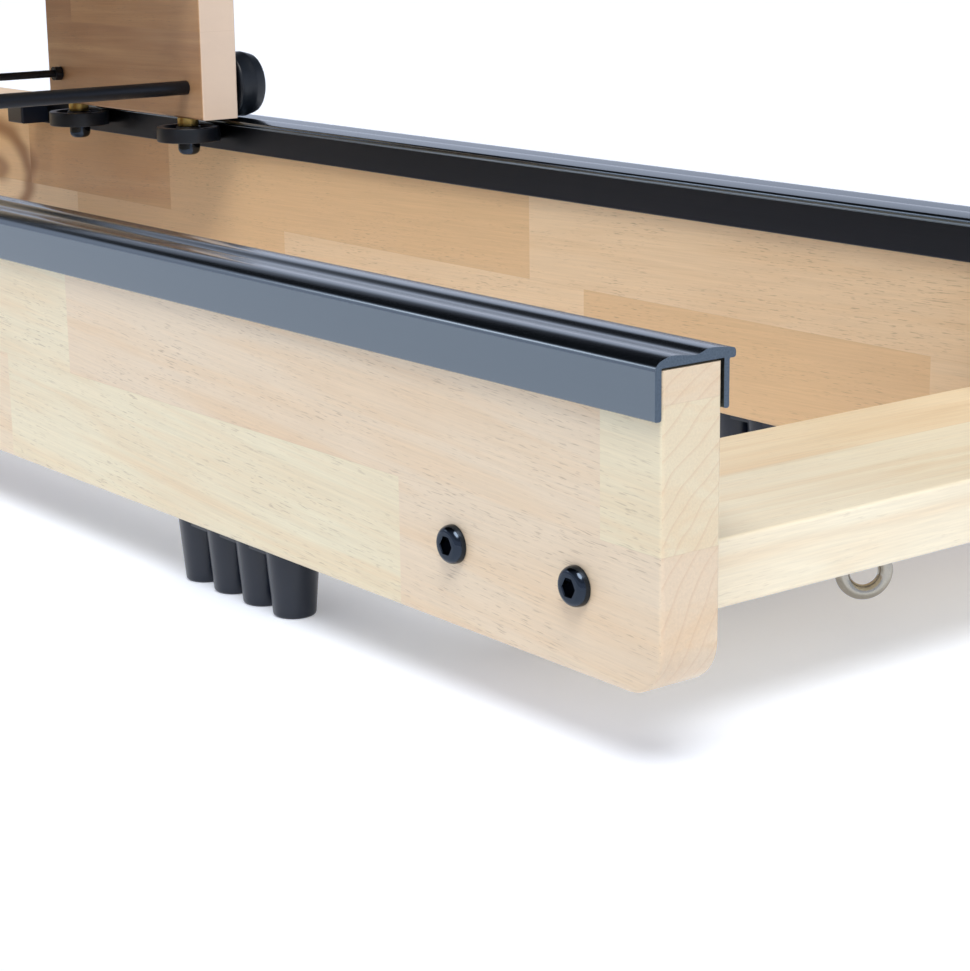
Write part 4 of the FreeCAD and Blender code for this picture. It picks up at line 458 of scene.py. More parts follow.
def knot_amount(tree, along, wide, deep, cloud, knot):
    """A dark heart and one arch round it, squeezed along the fibre, that fade away into the wood."""
    knot_along, knot_wide, knot_deep, size = knot
    wavy = formula(tree, ("SUBTRACT", cloud, 0.5), ("MULTIPLY", None, 0.8))
    away = distance(tree, formula(tree, ("SUBTRACT", along, knot_along), ("DIVIDE", None, size * 1.5)),
                    formula(tree, ("SUBTRACT", wide, knot_wide), ("DIVIDE", None, size)))
    away = formula(tree, ("ADD", away, wavy))
    from_arch = formula(tree, ("SUBTRACT", away, 1.0), ("ABSOLUTE", None))
    heart, arch = [add(tree, "MapRange", values, interpolation_type="SMOOTHSTEP").outputs[0]
                   for values in ((away, 0.12, 0.50, 0.75, 0.0), (from_arch, 0.02, 0.34, 0.85, 0.0))]
    through = add(tree, "MapRange", (deep, knot_deep, knot_deep + 24.0, 1.0, 0.12)).outputs[0]
    return formula(tree, ("MAXIMUM", heart, arch), ("MULTIPLY", through, None))


def make_hardwood(name, grain, across, rows, low, high, turn=0.0, pivot=(0, 0, 0), warm=0.0, knot=None,
                  slant=0.03, end_colour="D9B695", end_share=0.16, pore_least=0.0, pore_depth=0.46):
    """Lacquered rubberwood.

    grain and across name the axes of the fibre and of the strips' width. Each row is (its upper edge in
    mm along across, its blocks); a block is (its start in mm along grain, its tint).
    """
    material, tree, shader = new_material("rubberwood " + name, Roughness=0.42, IOR=1.5, Coat_Weight=0.25,
                                          Coat_Roughness=0.22, Specular_IOR_Level=0.4)
    where = add(tree, "TexCoord")
    place, normal = where.outputs["Object"], where.outputs["Normal"]
    if turn:
        place = add(tree, "VectorMath", (place, pivot), operation="SUBTRACT").outputs[0]
        place, normal = [add(tree, "Mapping", {"Vector": vector, "Rotation": (-turn, 0, 0)}).outputs[0]
                         for vector in (place, normal)]
    third = [axis for axis in AXES if axis not in (grain, across)][0]
    parts = add(tree, "SeparateXYZ", [place]).outputs
    along, wide, deep = [formula(tree, ("MULTIPLY", parts[AXES.index(axis)], 1 / MM))
                         for axis in (grain, across, third)]
    tint, glue_line = block_tints(tree, rows, along, wide, low, high)

    # each block gets its own piece of grain, because its tint shifts the pattern
    seeds = add(tree, "VectorMath", {0: tint, "Scale": SEED_SPREAD}, operation="SCALE").outputs[0]
    slanted = formula(tree, ("MULTIPLY", along, slant), ("ADD", wide, None))
    in_mm = add(tree, "CombineXYZ", (along, slanted, deep)).outputs[0]
    moved = add(tree, "VectorMath", (in_mm, seeds), operation="ADD").outputs[0]

    def stretched(scale, detail, distortion=0.0):
        """Noise with features of the given size in mm along, across and through the fibre."""
        squeezed = add(tree, "VectorMath", (moved, scale), operation="DIVIDE").outputs[0]
        return add(tree, "TexNoise", {"Vector": squeezed, "Scale": 1.0, "Detail": detail, "Roughness": 0.55,
                                      "Distortion": distortion}).outputs["Fac"]

    fibre = stretched((46.0, 0.9, 0.9), 3.0)
    bands = stretched((210.0, 13.0, 30.0), 3.0, 0.9)
    cloud = stretched((120.0, 45.0, 45.0), 2.0)
    pores = stretched((7.5, 0.62, 0.62), 1.0)
    pore_places = stretched((60.0, 18.0, 16.0), 1.0)

    # on the long faces: pores; on an end: growth rings
    end_normal = add(tree, "SeparateXYZ", [normal]).outputs[AXES.index(grain)]
    facing_end = formula(tree, ("ABSOLUTE", end_normal), ("GREATER_THAN", None, 0.7))
    seed_parts = add(tree, "SeparateXYZ", [seeds]).outputs
    ring_wide = formula(tree, ("MODULO", seed_parts[0], 37.0), ("ADD", None, -60.0), ("SUBTRACT", wide, None))
    ring_deep = formula(tree, ("MODULO", seed_parts[1], 29.0), ("ADD", deep, None))
    swing = formula(tree, ("MULTIPLY", cloud, 2.2))
    wavy = formula(tree, ("MULTIPLY", distance(tree, ring_wide, ring_deep), 0.145), ("ADD", None, swing),
                   ("FRACT", None))
    band_amount, cloud_amount, fibre_value, pore_mask, pore_field, ring, roughness = [
        add(tree, "MapRange", values).outputs[0] for values in (
            (bands, 0.46, 0.70, 0.0, 0.34), (cloud, 0.40, 0.75, 0.0, 0.22 + warm),
            (fibre, 0.3, 0.7, 0.935, 1.04), (pores, 0.605, 0.72), (pore_places, 0.36, 0.62, pore_least),
            (wavy, 0.80, 0.98, 0.0, 0.30), (fibre, 0.0, 1.0, 0.36, 0.52))]
    pore_amount = formula(tree, ("SUBTRACT", 1.0, facing_end), ("MULTIPLY", None, pore_depth),
                          ("MULTIPLY", None, pore_mask), ("MULTIPLY", None, pore_field))
    ring_amount, end_amount, glue_amount = [formula(tree, ("MULTIPLY", *pair)) for pair in (
        (ring, facing_end), (facing_end, end_share), (glue_line, 0.12))]
    knotty = knot_amount(tree, along, wide, deep, cloud, knot) if knot else 0.0
    colour = layered(tree, tint, ("MIX", band_amount, HONEY), ("MIX", cloud_amount, CLOUD_TINT),
                     ("MIX", warm, WARM_TINT), ("MULTIPLY", 1.0, fibre_value),
                     ("MIX", pore_amount, PORE_TINT), ("MIX", ring_amount, RING_TINT),
                     ("MIX", end_amount, end_colour), ("MIX", glue_amount, GLUE_TINT),
                     ("MIX", knotty, KNOT_TINT))
    height = formula(tree, ("MULTIPLY", fibre, 0.4), ("SUBTRACT", None, pore_amount))
    link_surface(tree, shader, colour, height, 0.12, 0.4, roughness)
    return material


RAIL_TINTS = (CREAM, PEACH, PINK, CREAM)
RAIL_EDGES = (83.8, 138.0, 200.0)
RAIL_ENDS = (-1050, 1050)
NEAR_ROWS = (
    [(-1050, PINK), (-902, CREAM), (-560, PEACH), (-270, CREAM), (60, PINK), (330, CREAM), (700, PEACH),
     (960, CREAM)],
    [(-1050, CREAM), (-1022, PINK), (-626, CREAM), (-430, PINK), (-95, CREAM), (210, PEACH), (520, CREAM),
     (830, PINK)],
    [(-1050, PEACH), (-628, CREAM), (-240, PEACH), (190, CREAM), (610, PINK)])
# The far rail's tints are darker and warmer than the near rail's: in part painted shade for its inner face,
# which lies in the near rail's shade.
FAR_ROWS = (
    [(-1050, FAIR), (-870, HONEY), (-610, FAIR), (-300, HONEY), (-10, FAIR), (420, PEACH), (790, PEACH)],
    [(-1050, HONEY), (-930, FAIR), (-560, HONEY), (-150, BROWN), (60, HONEY), (480, PEACH), (850, PEACH)],
    [(-1050, FAIR), (-500, HONEY), (100, FAIR)])
CROSS_ROWS = ([(-958.0, [(-155, "F5E9CD")]), (-900.0, [(-155, "F8E4C1")])]
              + [(edge, block_plan(seed, -155, 155, RAIL_TINTS))
                 for edge, seed in ((190.0, 5), (700.0, 6), (900.0, 8))])


def drawn_hardwood(name, grain, across, seed, edges, low, high, tints=RAIL_TINTS, **options):
    """Hardwood with one row of blocks below each edge, all drawn from seeds of their own."""
    rows = [(edge, block_plan(seed + i, low, high, tints)) for i, edge in enumerate(edges)]
    return make_hardwood(name, grain, across, rows, low, high, **options)


FOOT_ANGLE = math.radians(48)
wood_left_rail = make_hardwood("rail left", "Y", "Z", list(zip(RAIL_EDGES, NEAR_ROWS)), *RAIL_ENDS,
                               slant=-0.055, pore_least=0.18)
# warm=0.10 adds to the painted shade on the far rail. The knot is the wood's own.
wood_right_rail = make_hardwood("rail right", "Y", "Z", list(zip(RAIL_EDGES, FAR_ROWS)), *RAIL_ENDS,
                                warm=0.10, knot=(122.0, 92.0, 157.0, 34.0))
wood_cross = make_hardwood("cross board", "X", "Y", CROSS_ROWS, -155, 155, pore_depth=0.18)
wood_post = drawn_hardwood("post", "Z", "Y", 21, (460.0, 700.0, 985.0, 1100.0), 30, 440)
wood_deck = drawn_hardwood("deck", "Y", "X", 31, (-110.0, -55.0, 0.0, 55.0, 110.0, 200.0), 380, 1050)
# Painted shade: the carriage boards' dark tints and their warm shift stand in for the shade under the seat.
# Only their ends keep a pale colour, at end_share 0.85.
wood_carriage = drawn_hardwood("carriage board", "Y", "Z", 41, (215.0, 290.0), -260, -20,
                               ("B48A61", "A67D5A"), warm=0.10, end_colour="E6CFB8", end_share=0.85)
wood_seat_board = drawn_hardwood("seat board", "X", "Y", 51, (-200.0, -140.0, -80.0, 0.0), -160, 160)
wood_footboard = drawn_hardwood("footboard", "X", "Y", 61, (60.0, 120.0, 180.0, 240.0, 340.0), -160, 160,
                                turn=FOOT_ANGLE, pivot=(0, 0.200, 0.1323))
print("wood materials:", sum(m.name.startswith("rubberwood") for m in bpy.data.materials))

# %% [markdown]
# ## Metals, rubber and plastics
#
# Black anodised aluminium is dyed oxide over metal: nearly black, but its satin face mirrors the bright
# studio as a blue grey. It is drawn through a die, which leaves fine straight lines along its length. Steel,
# rubber and moulded plastic each get a fine surface of their own from noise at the size of the real grain.

# %% Materials for everything that isn't wood
def with_grain(name, base, size, tint_spread, rough, bump, depth=0.1, **values):
    """A material whose colour, roughness and bump vary over a grain; size and depth are in mm."""
    material, tree, shader = new_material(name, Base_Color=linear(base), **values)
    scale = tuple(1.0 / (np.broadcast_to(size, 3) * MM))
    squeezed = add(tree, "Mapping", {"Vector": add(tree, "TexCoord").outputs["Object"], "Scale": scale})
    noise = add(tree, "TexNoise", {"Vector": squeezed.outputs[0], "Scale": 1.0, "Detail": 3.0}).outputs["Fac"]
    value, roughness = [add(tree, "MapRange", (noise, *ends)).outputs[0]
                        for ends in ((0.3, 0.7, 1 - tint_spread, 1 + tint_spread), (0.25, 0.75, *rough))]
    link_surface(tree, shader, layered(tree, linear(base), ("MULTIPLY", 1.0, value)), noise, bump, depth,
                 roughness)
    return material


DRAWN = (0.5, 160, 0.5)
anodised = with_grain("black anodised aluminium", "6F7880", DRAWN, 0.018, (0.15, 0.19), 0.015, 0.03,
                      Metallic=1.0)
# Painted shade: a darker, rougher copy of the anodising for the caps' inward legs. It stands in for the dark
# surroundings they mirror between the rails.
anodised_painted_shade = with_grain("anodised aluminium with painted shade", "2E3036", DRAWN, 0.03, (0.28, 0.38), 0.03, 0.03,
                            Metallic=1.0)
anodised_end = with_grain("saw cut aluminium end", "5A6672", 0.7, 0.22, (0.34, 0.5), 0.3, Metallic=0.9)
black_steel = with_grain("gloss black coated steel", "363D47", 1.5, 0.05, (0.10, 0.18), 0.03, Metallic=1.0)
steel = with_grain("satin stainless steel", "B9B3A6", 0.6, 0.06, (0.24, 0.36), 0.05, Metallic=1.0)
eye_steel = with_grain("tumbled stainless wire", "ADA89D", 0.9, 0.05, (0.20, 0.28), 0.04, Metallic=1.0)
black_oxide = with_grain("black oxide steel", "22252B", (0.6, 2.0, 0.6), 0.08, (0.3, 0.42), 0.05,
                         Metallic=0.7)
zinc = with_grain("yellow zinc steel", "B69A5A", 1.0, 0.12, (0.26, 0.4), 0.05, Metallic=1.0)
rubber = with_grain("moulded black rubber", "0C1524", 0.5, 0.05, (0.28, 0.36), 0.05)
foam = with_grain("closed cell grip foam", "1E1F22", 0.7, 0.14, (0.8, 0.95), 0.5, 0.4)
plastic = with_grain("moulded black nylon", "1D1F23", 0.5, 0.06, (0.42, 0.56), 0.18)
wheel_plastic = with_grain("dark polyurethane", "12171E", 0.6, 0.05, (0.32, 0.42), 0.06,
                           Specular_IOR_Level=0.38)
acetal = with_grain("white acetal", "E8E6DF", 0.8, 0.02, (0.3, 0.4), 0.04)
button_rubber = with_grain("grey silicone rubber", "6E7278", 0.4, 0.05, (0.6, 0.7), 0.1)
display = with_grain("display window", "9AA79A", 3, 0.03, (0.10, 0.14), 0.0, Coat_Weight=1.0,
                     Coat_Roughness=0.03)
ink = with_grain("liquid crystal segment", "14181A", 2, 0.02, (0.3, 0.35), 0.0)
vinyl = with_grain("soft grained vinyl", "1C1D20", 1.1, 0.10, (0.42, 0.55), 0.35, 0.25,
                   Specular_IOR_Level=0.45)
clear = with_grain("clear polycarbonate", "EAF4F6", 40, 0.02, (0.02, 0.05), 0.02, 0.5,
                   Transmission_Weight=1.0, IOR=1.585)


def make_webbing(base="202126", rib=1.7, pick=1.1):
    """Polyester webbing: ribs across the strap every 1.7 mm and picks along it every 1.1 mm."""
    material, tree, shader = new_material("woven polyester webbing", Base_Color=linear(base), Roughness=0.8,
                                          Sheen_Weight=0.25, Sheen_Roughness=0.5)
    weave = add(tree, "Attribute", attribute_name="weave").outputs["Vector"]
    along, across = add(tree, "SeparateXYZ", [weave]).outputs[:2]
    picks = formula(tree, ("MULTIPLY", along, 2 * math.pi / pick), ("SINE", None), ("MULTIPLY", None, 0.4))
    height = formula(tree, ("MULTIPLY", across, 2 * math.pi / rib), ("SINE", None), ("MULTIPLY", None, 0.6),
                     ("ADD", None, picks))
    value = add(tree, "MapRange", (height, -1.0, 1.0, 0.72, 1.25)).outputs[0]
    link_surface(tree, shader, layered(tree, linear(base), ("MULTIPLY", 1.0, value)), height, 0.6, 0.3)
    return material


webbing = make_webbing()
print("materials:", len(bpy.data.materials))

# %% [markdown]
# ## Rail caps
#
# Each cap is one aluminium extrusion: a die gives it the same section from end to end, with two low crests, a
# shallow valley and a lip towards the seat. A section carried straight along Y is just that. Its corners are
# rounded as a die rounds them, and it stands a hair off the wood, which draws the fine dark line at its end.

# %% Caps: a section carried along the rail
CAP_GAP = 0.4
CAP_CLEARANCE = 0.9
CAP_SECTION = [
    (-3.4, -17.7, 1.0), (-3.4, 2.6, 3.2), (3.8, 5.0, 2.6), (14.2, 3.7, 3.0), (16.8, 3.7, 2.4),
    (21.0, 5.25, 1.6), (24.4, 5.25, 1.8), (34.4, 4.0, 1.6), (34.4, 0.5, 1.2), (31.4, 0.5, 0.6),
    (31.4, -17.2, 1.0), (28.9, -17.2, 1.0), (28.9, CAP_CLEARANCE, 0.4), (-CAP_GAP, CAP_CLEARANCE, 0.4),
    (-CAP_GAP, -17.7, 1.0)]

for side_name, side in SIDES:
    node = side_name + "_rail_cap"
    low, high = box_mm(node)
    outline = rounded(CAP_SECTION, 5)
    on_axes = np.stack([RAIL_TOP + outline[:, 1], (RAIL_OUTER - outline[:, 0]) * side], axis=1)
    cap = new_piece(side_name + "_cap", [extruded(on_axes, "Y", low[1], high[1])], anodised, "frame",
                    [node], sharp=24)
    cap.data.materials.append(anodised_painted_shade)
    cap.data.materials.append(anodised_end)
    # Painted shade: the inward faces below the lip take the darker anodising. The cut ends take the saw cut
    # finish.
    centres, normals = read(cap.data.polygons, "center"), read(cap.data.polygons, "normal")
    below_lip = centres[:, 2] < RAIL_TOP * MM
    inward = (normals[:, 0] * side < -0.5) & (np.abs(centres[:, 0]) < RAIL_INNER * MM)
    cut_end = np.abs(normals[:, 1]) > 0.9
    cap.data.polygons.foreach_set("material_index", ((below_lip & inward) + 2 * cut_end).astype(np.int32))

# %% [markdown]
# ## Button head bolts
#
# A cold-headed bolt is a turned shape with one hexagon pressed into it. So the profile goes round the axis as
# on a lathe, and in its last rows the circle bends into a hexagon: the bolt stays one closed surface.

# %% Bolts through rails, boards and posts
POST_BOLTS = (56.0, RAIL_BOTTOM + 30, RAIL_BOTTOM + 86)


def button_bolt(face, side, y, z, head, height, shank, length, socket, depth, rim=1.0):
    """From the shank's end out over a domed head and down into the hexagon socket."""
    turn = np.linspace(0, math.pi / 2, 8)
    crown = socket + 1.2
    dome = np.stack([rim + (height - rim) * np.sin(turn), crown + (head - crown) * np.cos(turn)], axis=1)
    shaft = [(-length, 0), (-length, shank), (0, shank), (0, head - 0.35), (0.3, head)]
    hole = [(height, socket + 0.35), (height - 0.35, socket), (height - depth, socket), (height - depth, 0)]
    profile = np.vstack([shaft, dome, hole])
    hexagon = np.zeros(len(profile))
    hexagon[-4:] = (0.8, 1.0, 1.0, 1.0)
    return turned(mirrored(profile, side, face), "X", (0, y, z), 72, hexagon)


def two_bolts(node, spacing, low_z=None, high_z=None):
    """Two bolts on both sides of a piece's middle, at its own height unless two heights are given."""
    middle = middle_of(node)
    return [(middle[1] - spacing / 2, low_z or middle[2]), (middle[1] + spacing / 2, high_z or middle[2])]


BOLT_PLACES = (two_bolts("rear_cross_board", 74) + two_bolts("middle_cross_board", 74)
               + two_bolts("tank_base_board", 210) + two_bolts("left_rear_post", *POST_BOLTS)
               + two_bolts("left_front_post", *POST_BOLTS))
transport_middle = middle_of("transport_wheels")
WHEEL_BOLT_HEAD = 5.0
WHEEL_BOLT_END = 163.0
wheel_bolt_face = box_mm("frame_bolts")[1][0] - WHEEL_BOLT_HEAD
bolt_shells = [button_bolt(RAIL_OUTER, side, y, z, 7.8, 4.6, 4.0, 54.0, 3.75, 3.0)
               for side in (-1, 1) for y, z in BOLT_PLACES]
bolt_shells += [button_bolt(wheel_bolt_face, side, *transport_middle[1:], 9.0, WHEEL_BOLT_HEAD, 5.0,
                            wheel_bolt_face - WHEEL_BOLT_END, 4.2, 3.2) for side in (-1, 1)]
new_piece("button_head_bolts", bolt_shells, black_steel, "frame", ["frame_bolts"], 32)

# %% [markdown]
# ## Eye and feet
#
# The eye is bent from round steel wire, so it is a torus on a collar and a shank. A foot is moulded rubber:
# four tapered studs side by side, with a soft lower rim where the mould parts.

# %% Eye bolt and rubber feet
EYE_OUTER, EYE_WIRE, COLLAR, COLLAR_HEIGHT, SHANK = 12.5, 3.2, 6.5, 1.6, 3.0
EYE_TURN = math.radians(-32)
eye_low, eye_high = box_mm("eye_bolt")
eye_z = eye_low[2] + EYE_OUTER
eye_axis = (0, middle_of("eye_bolt")[1], 0)
wire_middle = EYE_OUTER - EYE_WIRE
board_bottom = box_mm("rear_cross_board")[0][2]
collar_bottom = board_bottom - COLLAR_HEIGHT
wire_turn = np.linspace(0, 2 * math.pi, 20, endpoint=False)
wire = np.stack([EYE_WIRE * np.sin(wire_turn), wire_middle + EYE_WIRE * np.cos(wire_turn)], axis=1)
ring_points, ring_faces = turned(looped(wire), "Y", (0, 0, eye_z), 64)
spin = np.array([[math.cos(EYE_TURN), math.sin(EYE_TURN), 0], [-math.sin(EYE_TURN), math.cos(EYE_TURN), 0],
                 [0, 0, 1]])
neck_start = eye_z + EYE_OUTER - EYE_WIRE * 1.6
neck = [(neck_start, 0), (neck_start, 2.2), (collar_bottom - 1.5, 3.4), (collar_bottom + 0.2, 4.6),
        (collar_bottom + 0.2, 0)]
new_piece("eye", [(ring_points @ spin + eye_axis, ring_faces),
                  rod(collar_bottom, board_bottom, COLLAR, "Z", eye_axis, edge=0.5),
                  rod(eye_z + wire_middle, eye_high[2], SHANK, "Z", eye_axis), turned(neck, "Z", eye_axis)],
          eye_steel, "frame", ["eye_bolt"])

STUDS, STUD_PITCH, STUD_TOP, STUD_BOTTOM, FOOT_PLATE = 4, 24.5, 12.1, 9.5, 2.5
STUD_ROW = STUD_PITCH * (STUDS - 1)
feet_low, feet_high = box_mm("rubber_feet")
rail_middle = (RAIL_OUTER + RAIL_INNER) / 2
stud_profile = soften([(0, 0), (0, STUD_BOTTOM), (RAIL_BOTTOM, STUD_TOP), (RAIL_BOTTOM, 0)],
                      [0, 1.6, 0.6, 0], 5, closed=False)


def foot_shells(side, middle_y):
    """Four studs in a row and the thin plate that joins them under the rail."""
    studs = [turned(stud_profile, "Z", (rail_middle * side, middle_y - STUD_ROW / 2 + STUD_PITCH * i, 0), 56)
             for i in range(STUDS)]
    half_x = STUD_TOP - 1.5
    half_y = STUD_ROW / 2 + half_x
    corners = np.array([(-half_x, -half_y), (half_x, -half_y), (half_x, half_y), (-half_x, half_y)])
    plate = soften(corners, half_x * 0.9, 6) + (rail_middle * side, middle_y)
    return studs + [extruded(plate, "Z", RAIL_BOTTOM - FOOT_PLATE, RAIL_BOTTOM)]


from_end = STUD_TOP + STUD_ROW / 2
new_piece("feet", [shell for side in (-1, 1) for y in (feet_low[1] + from_end, feet_high[1] - from_end)
                   for shell in foot_shells(side, y)], rubber, "frame", ["rubber_feet"])

# %% [markdown]
# ## Seat wheels, guide rollers and their axles
#
# The seat rolls on four wheels whose tread fits the cap's inner crest, and four flat rollers run along the
# inside of the caps. All of them are turned or moulded round, so each is a profile round its axis. Nuts are
# the same with their circle bent into a hexagon.

# %% Wheels, bearings, rollers, axles and nuts
board_corner, opposite_corner = box_mm("left_carriage_board")
BOARD_INNER, BOARD_BOTTOM = -opposite_corner[0], board_corner[2]
CREST_X = RAIL_OUTER - 22.7
WHEEL_SECTION = [(-9.2, 8.3), (-4.4, 8.3), (-4.4, 16.5), (-7.0, 16.5), (-7.0, 20.6), (-5.6, 22.0),
                 (-1.7, 21.6), (1.7, 21.6), (5.6, 22.0), (12.5, 20.2), (13.7, 19.5), (13.7, 16.5),
                 (11.1, 16.5), (11.1, 8.3), (14.2, 8.3), (14.2, 7.7), (-9.2, 7.7)]
ROLLER_SECTION = [(0, 4.05), (0, 21.6), (10, 21.6), (10, 16.5), (7.4, 16.5), (7.4, 8.5), (10, 8.5),
                  (10, 4.05)]
BEARING_ENDS, BEARING_RADIUS = (-8.9, 13.8), 7.7
BORES = {"rear": 4.3, "front": 3.0}


def round_piece(section, radius, axis, centre, side=1, offset=0.0, segments=64):
    """A closed section turned round an axis, mirrored by side and moved by offset along it."""
    return turned(looped(mirrored(soften(section, radius, 3), side, offset)), axis, centre, segments)


for pair, bore in BORES.items():
    node, body = pair + "_seat_wheels", pair + "_wheel_pair"
    centre = (0, *middle_of(node)[1:])
    start, end = BEARING_ENDS
    bearing = [(start, bore), (start, BEARING_RADIUS), (end, BEARING_RADIUS), (end, bore)]
    for name, section, radius, segments, material, slot, replaced in (
            ("_wheels", WHEEL_SECTION, 0.7, 80, wheel_plastic, "wheel_plastic", [node]),
            ("_wheel_bearings", bearing, 0.3, 64, steel, "bright_steel", ())):
        new_piece(pair + name, [round_piece(section, radius, "X", centre, side, CREST_X, segments)
                                for side in (-1, 1)], material, body, replaced)

NUT_TOP, NUT_RADIUS, NUT_HEIGHT, NUT_BEVEL = -0.3, 7.5, 9.0, 2.5
NUT_LOW = NUT_TOP - NUT_HEIGHT
NUT = soften([(NUT_LOW, 0), (NUT_LOW, NUT_RADIUS - NUT_BEVEL), (NUT_LOW + NUT_BEVEL, NUT_RADIUS),
              (NUT_TOP, NUT_RADIUS), (NUT_TOP, 0)], [0, 2.2, 2.2, 0.6, 0], 5, closed=False)
guide_rod_top = box_mm("guide_roller_bolts")[1][2]
rods, nuts = [], []
for side_name, side in SIDES:
    for end_name in ("rear", "front"):
        place = "%s_%s" % (side_name, end_name)
        node = place + "_guide_roller"
        low_z = box_mm(node)[0][2]
        axis = (*middle_of(node)[:2], 0)
        new_piece(node + "_tread", [round_piece(ROLLER_SECTION, 0.9, "Z", axis, 1, low_z, 80)],
                  wheel_plastic, "guide_" + place, [node])
        rods += [rod(low_z - 4, guide_rod_top, 4, "Z", axis),
                 rod(low_z + 10.2, BOARD_BOTTOM, 7.2, "Z", axis, edge=0.4)]
        nuts.append(turned(mirrored(NUT, 1, low_z), "Z", axis))
new_piece("guide_bolts", rods, zinc, "carriage", ["guide_roller_bolts"])
new_piece("guide_bolt_nuts", nuts, black_steel, "carriage")


def axle_shells(node, radius, sleeve, lock_nuts):
    """The rod, its sleeve or lock nuts between the boards, and a domed hexagon nut outside each wheel."""
    axis = (0, *middle_of(node)[1:])
    half = box_mm(node)[1][0]
    shells = [turned([(-half + 0.6, 0), (-half + 0.6, radius - 0.5), (-half + 1.1, radius),
                      (half - 1.1, radius), (half - 0.6, radius - 0.5), (half - 0.6, 0)], "X", axis)]
    if sleeve:
        shells.append(rod(-BOARD_INNER, BOARD_INNER, sleeve, "X", axis, edge=0.3, steps=2))
    places = [(half - 7.0, half, 6.5)] + [(BOARD_INNER - 6.5, BOARD_INNER, 5.4)] * lock_nuts
    for side in (-1, 1):
        for start, end, corner in places:
            profile = [(start, 0), (start, corner * 0.93), (start + 0.5, corner), (end - 1.6, corner),
                       (end - 0.9, corner * 0.93), (end - 0.2, corner * 0.66), (end, corner * 0.5), (end, 0)]
            shells.append(turned(mirrored(profile, side), "X", axis, 48, [0, 0.2, 1, 1, 0.4, 0, 0, 0]))
    return shells


for pair, radius, sleeve, lock_nuts in (("rear", 4.0, 4.8, False), ("front", 2.7, 0, True)):
    new_piece(pair + "_rod", axle_shells(pair + "_axle", radius, sleeve, lock_nuts), black_oxide, "carriage",
              [pair + "_axle"])

# %% [markdown]
# ## Tank
#
# The two bowls are blown from clear polycarbonate, so every corner is a wide round one. Each is a wall of
# 4 mm turned round the shaft's axis. The lid's filling hole is cut by a Boolean modifier that is applied.

# %% Bowls, screws and plug
lower_low, lower_high = box_mm("tank_lower_bowl")
lid_low = box_mm("tank_upper_bowl")[0][2]
TANK_Y = (lower_low[1] + lower_high[1]) / 2
WALL, BODY, FLANGE, FLANGE_THICK, HUB, HUB_RISE = 4.0, 218.0, 235.0, 7.0, 18, 9
FLOOR_RADIUS, LID_RADIUS, BORE = 176.0, 182.0, 10.55
PLUG_HOLE = 17.0
tank_height, lid_height = lower_high[2] - lower_low[2], 92.0
LOWER = [(0, 0, 0), (0, FLOOR_RADIUS, 26), (tank_height - FLANGE_THICK, BODY, 2),
         (tank_height - FLANGE_THICK, FLANGE, 1.5), (tank_height, FLANGE, 1.5), (tank_height, BODY - WALL, 2),
         (WALL, FLOOR_RADIUS - WALL, 22), (WALL, HUB, 1.5), (WALL + HUB_RISE, HUB, 1),
         (WALL + HUB_RISE, BORE, 0.6), (WALL, BORE, 0.6), (WALL, 0, 0)]
UPPER = [(0, BODY - WALL, 2), (0, FLANGE, 1.5), (FLANGE_THICK, FLANGE, 1.5), (FLANGE_THICK, BODY, 2),
         (lid_height, LID_RADIUS, 26), (lid_height, HUB, 2), (lid_height + HUB_RISE, HUB, 1),
         (lid_height + HUB_RISE, BORE, 0.6), (lid_height - WALL, BORE, 0.6),
         (lid_height - WALL, LID_RADIUS - WALL, 22)]
lower_outline, upper_outline = rounded(LOWER, 8, closed=False), looped(rounded(UPPER, 8))
new_piece("lower_bowl", [turned(lower_outline, "Z", (0, TANK_Y, lower_low[2]), 160)], clear, "frame",
          ["tank_lower_bowl"], 40)
lid = new_piece("upper_bowl", [turned(upper_outline, "Z", (0, TANK_Y, lid_low), 160)], clear, "frame",
                ["tank_upper_bowl"], 40)


def apply_modifiers(piece):
    """The mesh as the modifiers leave it takes the place of the piece's own."""
    bpy.context.view_layer.update()
    seen = piece.evaluated_get(bpy.context.evaluated_depsgraph_get())
    mesh = bpy.data.meshes.new_from_object(seen)
    piece.modifiers.clear()
    piece.data = mesh


lid_top = lid_low + lid_height
punch = in_scene("punch", closed_mesh("punch", *rod(lid_top - 9, lid_top + 6, PLUG_HOLE, "Z",
                                                    (middle_of("fill_plug")[0], TANK_Y, 0), 64)))
hole = lid.modifiers.new("filling_hole", "BOOLEAN")
hole.operation = "DIFFERENCE"
hole.solver = "EXACT"
hole.object = punch
apply_modifiers(lid)
bpy.data.meshes.remove(punch.data)
print("lid with filling hole:", len(lid.data.polygons), "faces")

SCREWS, SCREW_CIRCLE = 12, 229.5
screw_low, screw_high = [corner[2] for corner in box_mm("tank_screws")]
head_bottom = screw_high - 3.6
HEAD = [(head_bottom, 0), (head_bottom, 4.3), (screw_high - 0.5, 4.4), (screw_high, 3.9), (screw_high, 2.5),
        (screw_high - 0.3, 2.3), (screw_high - 2.2, 2.3), (screw_high - 2.2, 0)]
SCREW_NUT = [(screw_low, 0), (screw_low, 3.8), (screw_low + 0.5, 4.4), (screw_low + 4, 4.4),
             (screw_low + 4, 0)]
screw_shells = []
for turn in np.arange(SCREWS) * 2 * math.pi / SCREWS:
    place = (SCREW_CIRCLE * math.cos(turn), TANK_Y + SCREW_CIRCLE * math.sin(turn), 0)
    screw_shells += [turned(HEAD, "Z", place, 36, [0, 0, 0, 0, 0.6, 1, 1, 1]),
                     turned(SCREW_NUT, "Z", place, 36, [0, 0.4, 1, 1, 1]),
                     rod(screw_low, head_bottom, 2.2, "Z", place, 24)]
new_piece("tank_cap_screws", screw_shells, black_steel, "frame", ["tank_screws"])

# %% [markdown]
# ## Webbing
#
# Strap is flat woven webbing: a thin section carried along a path, at its full width. Each point also keeps
# how far it lies along and across the strap, in mm, so the weave can follow the strap round every bend.

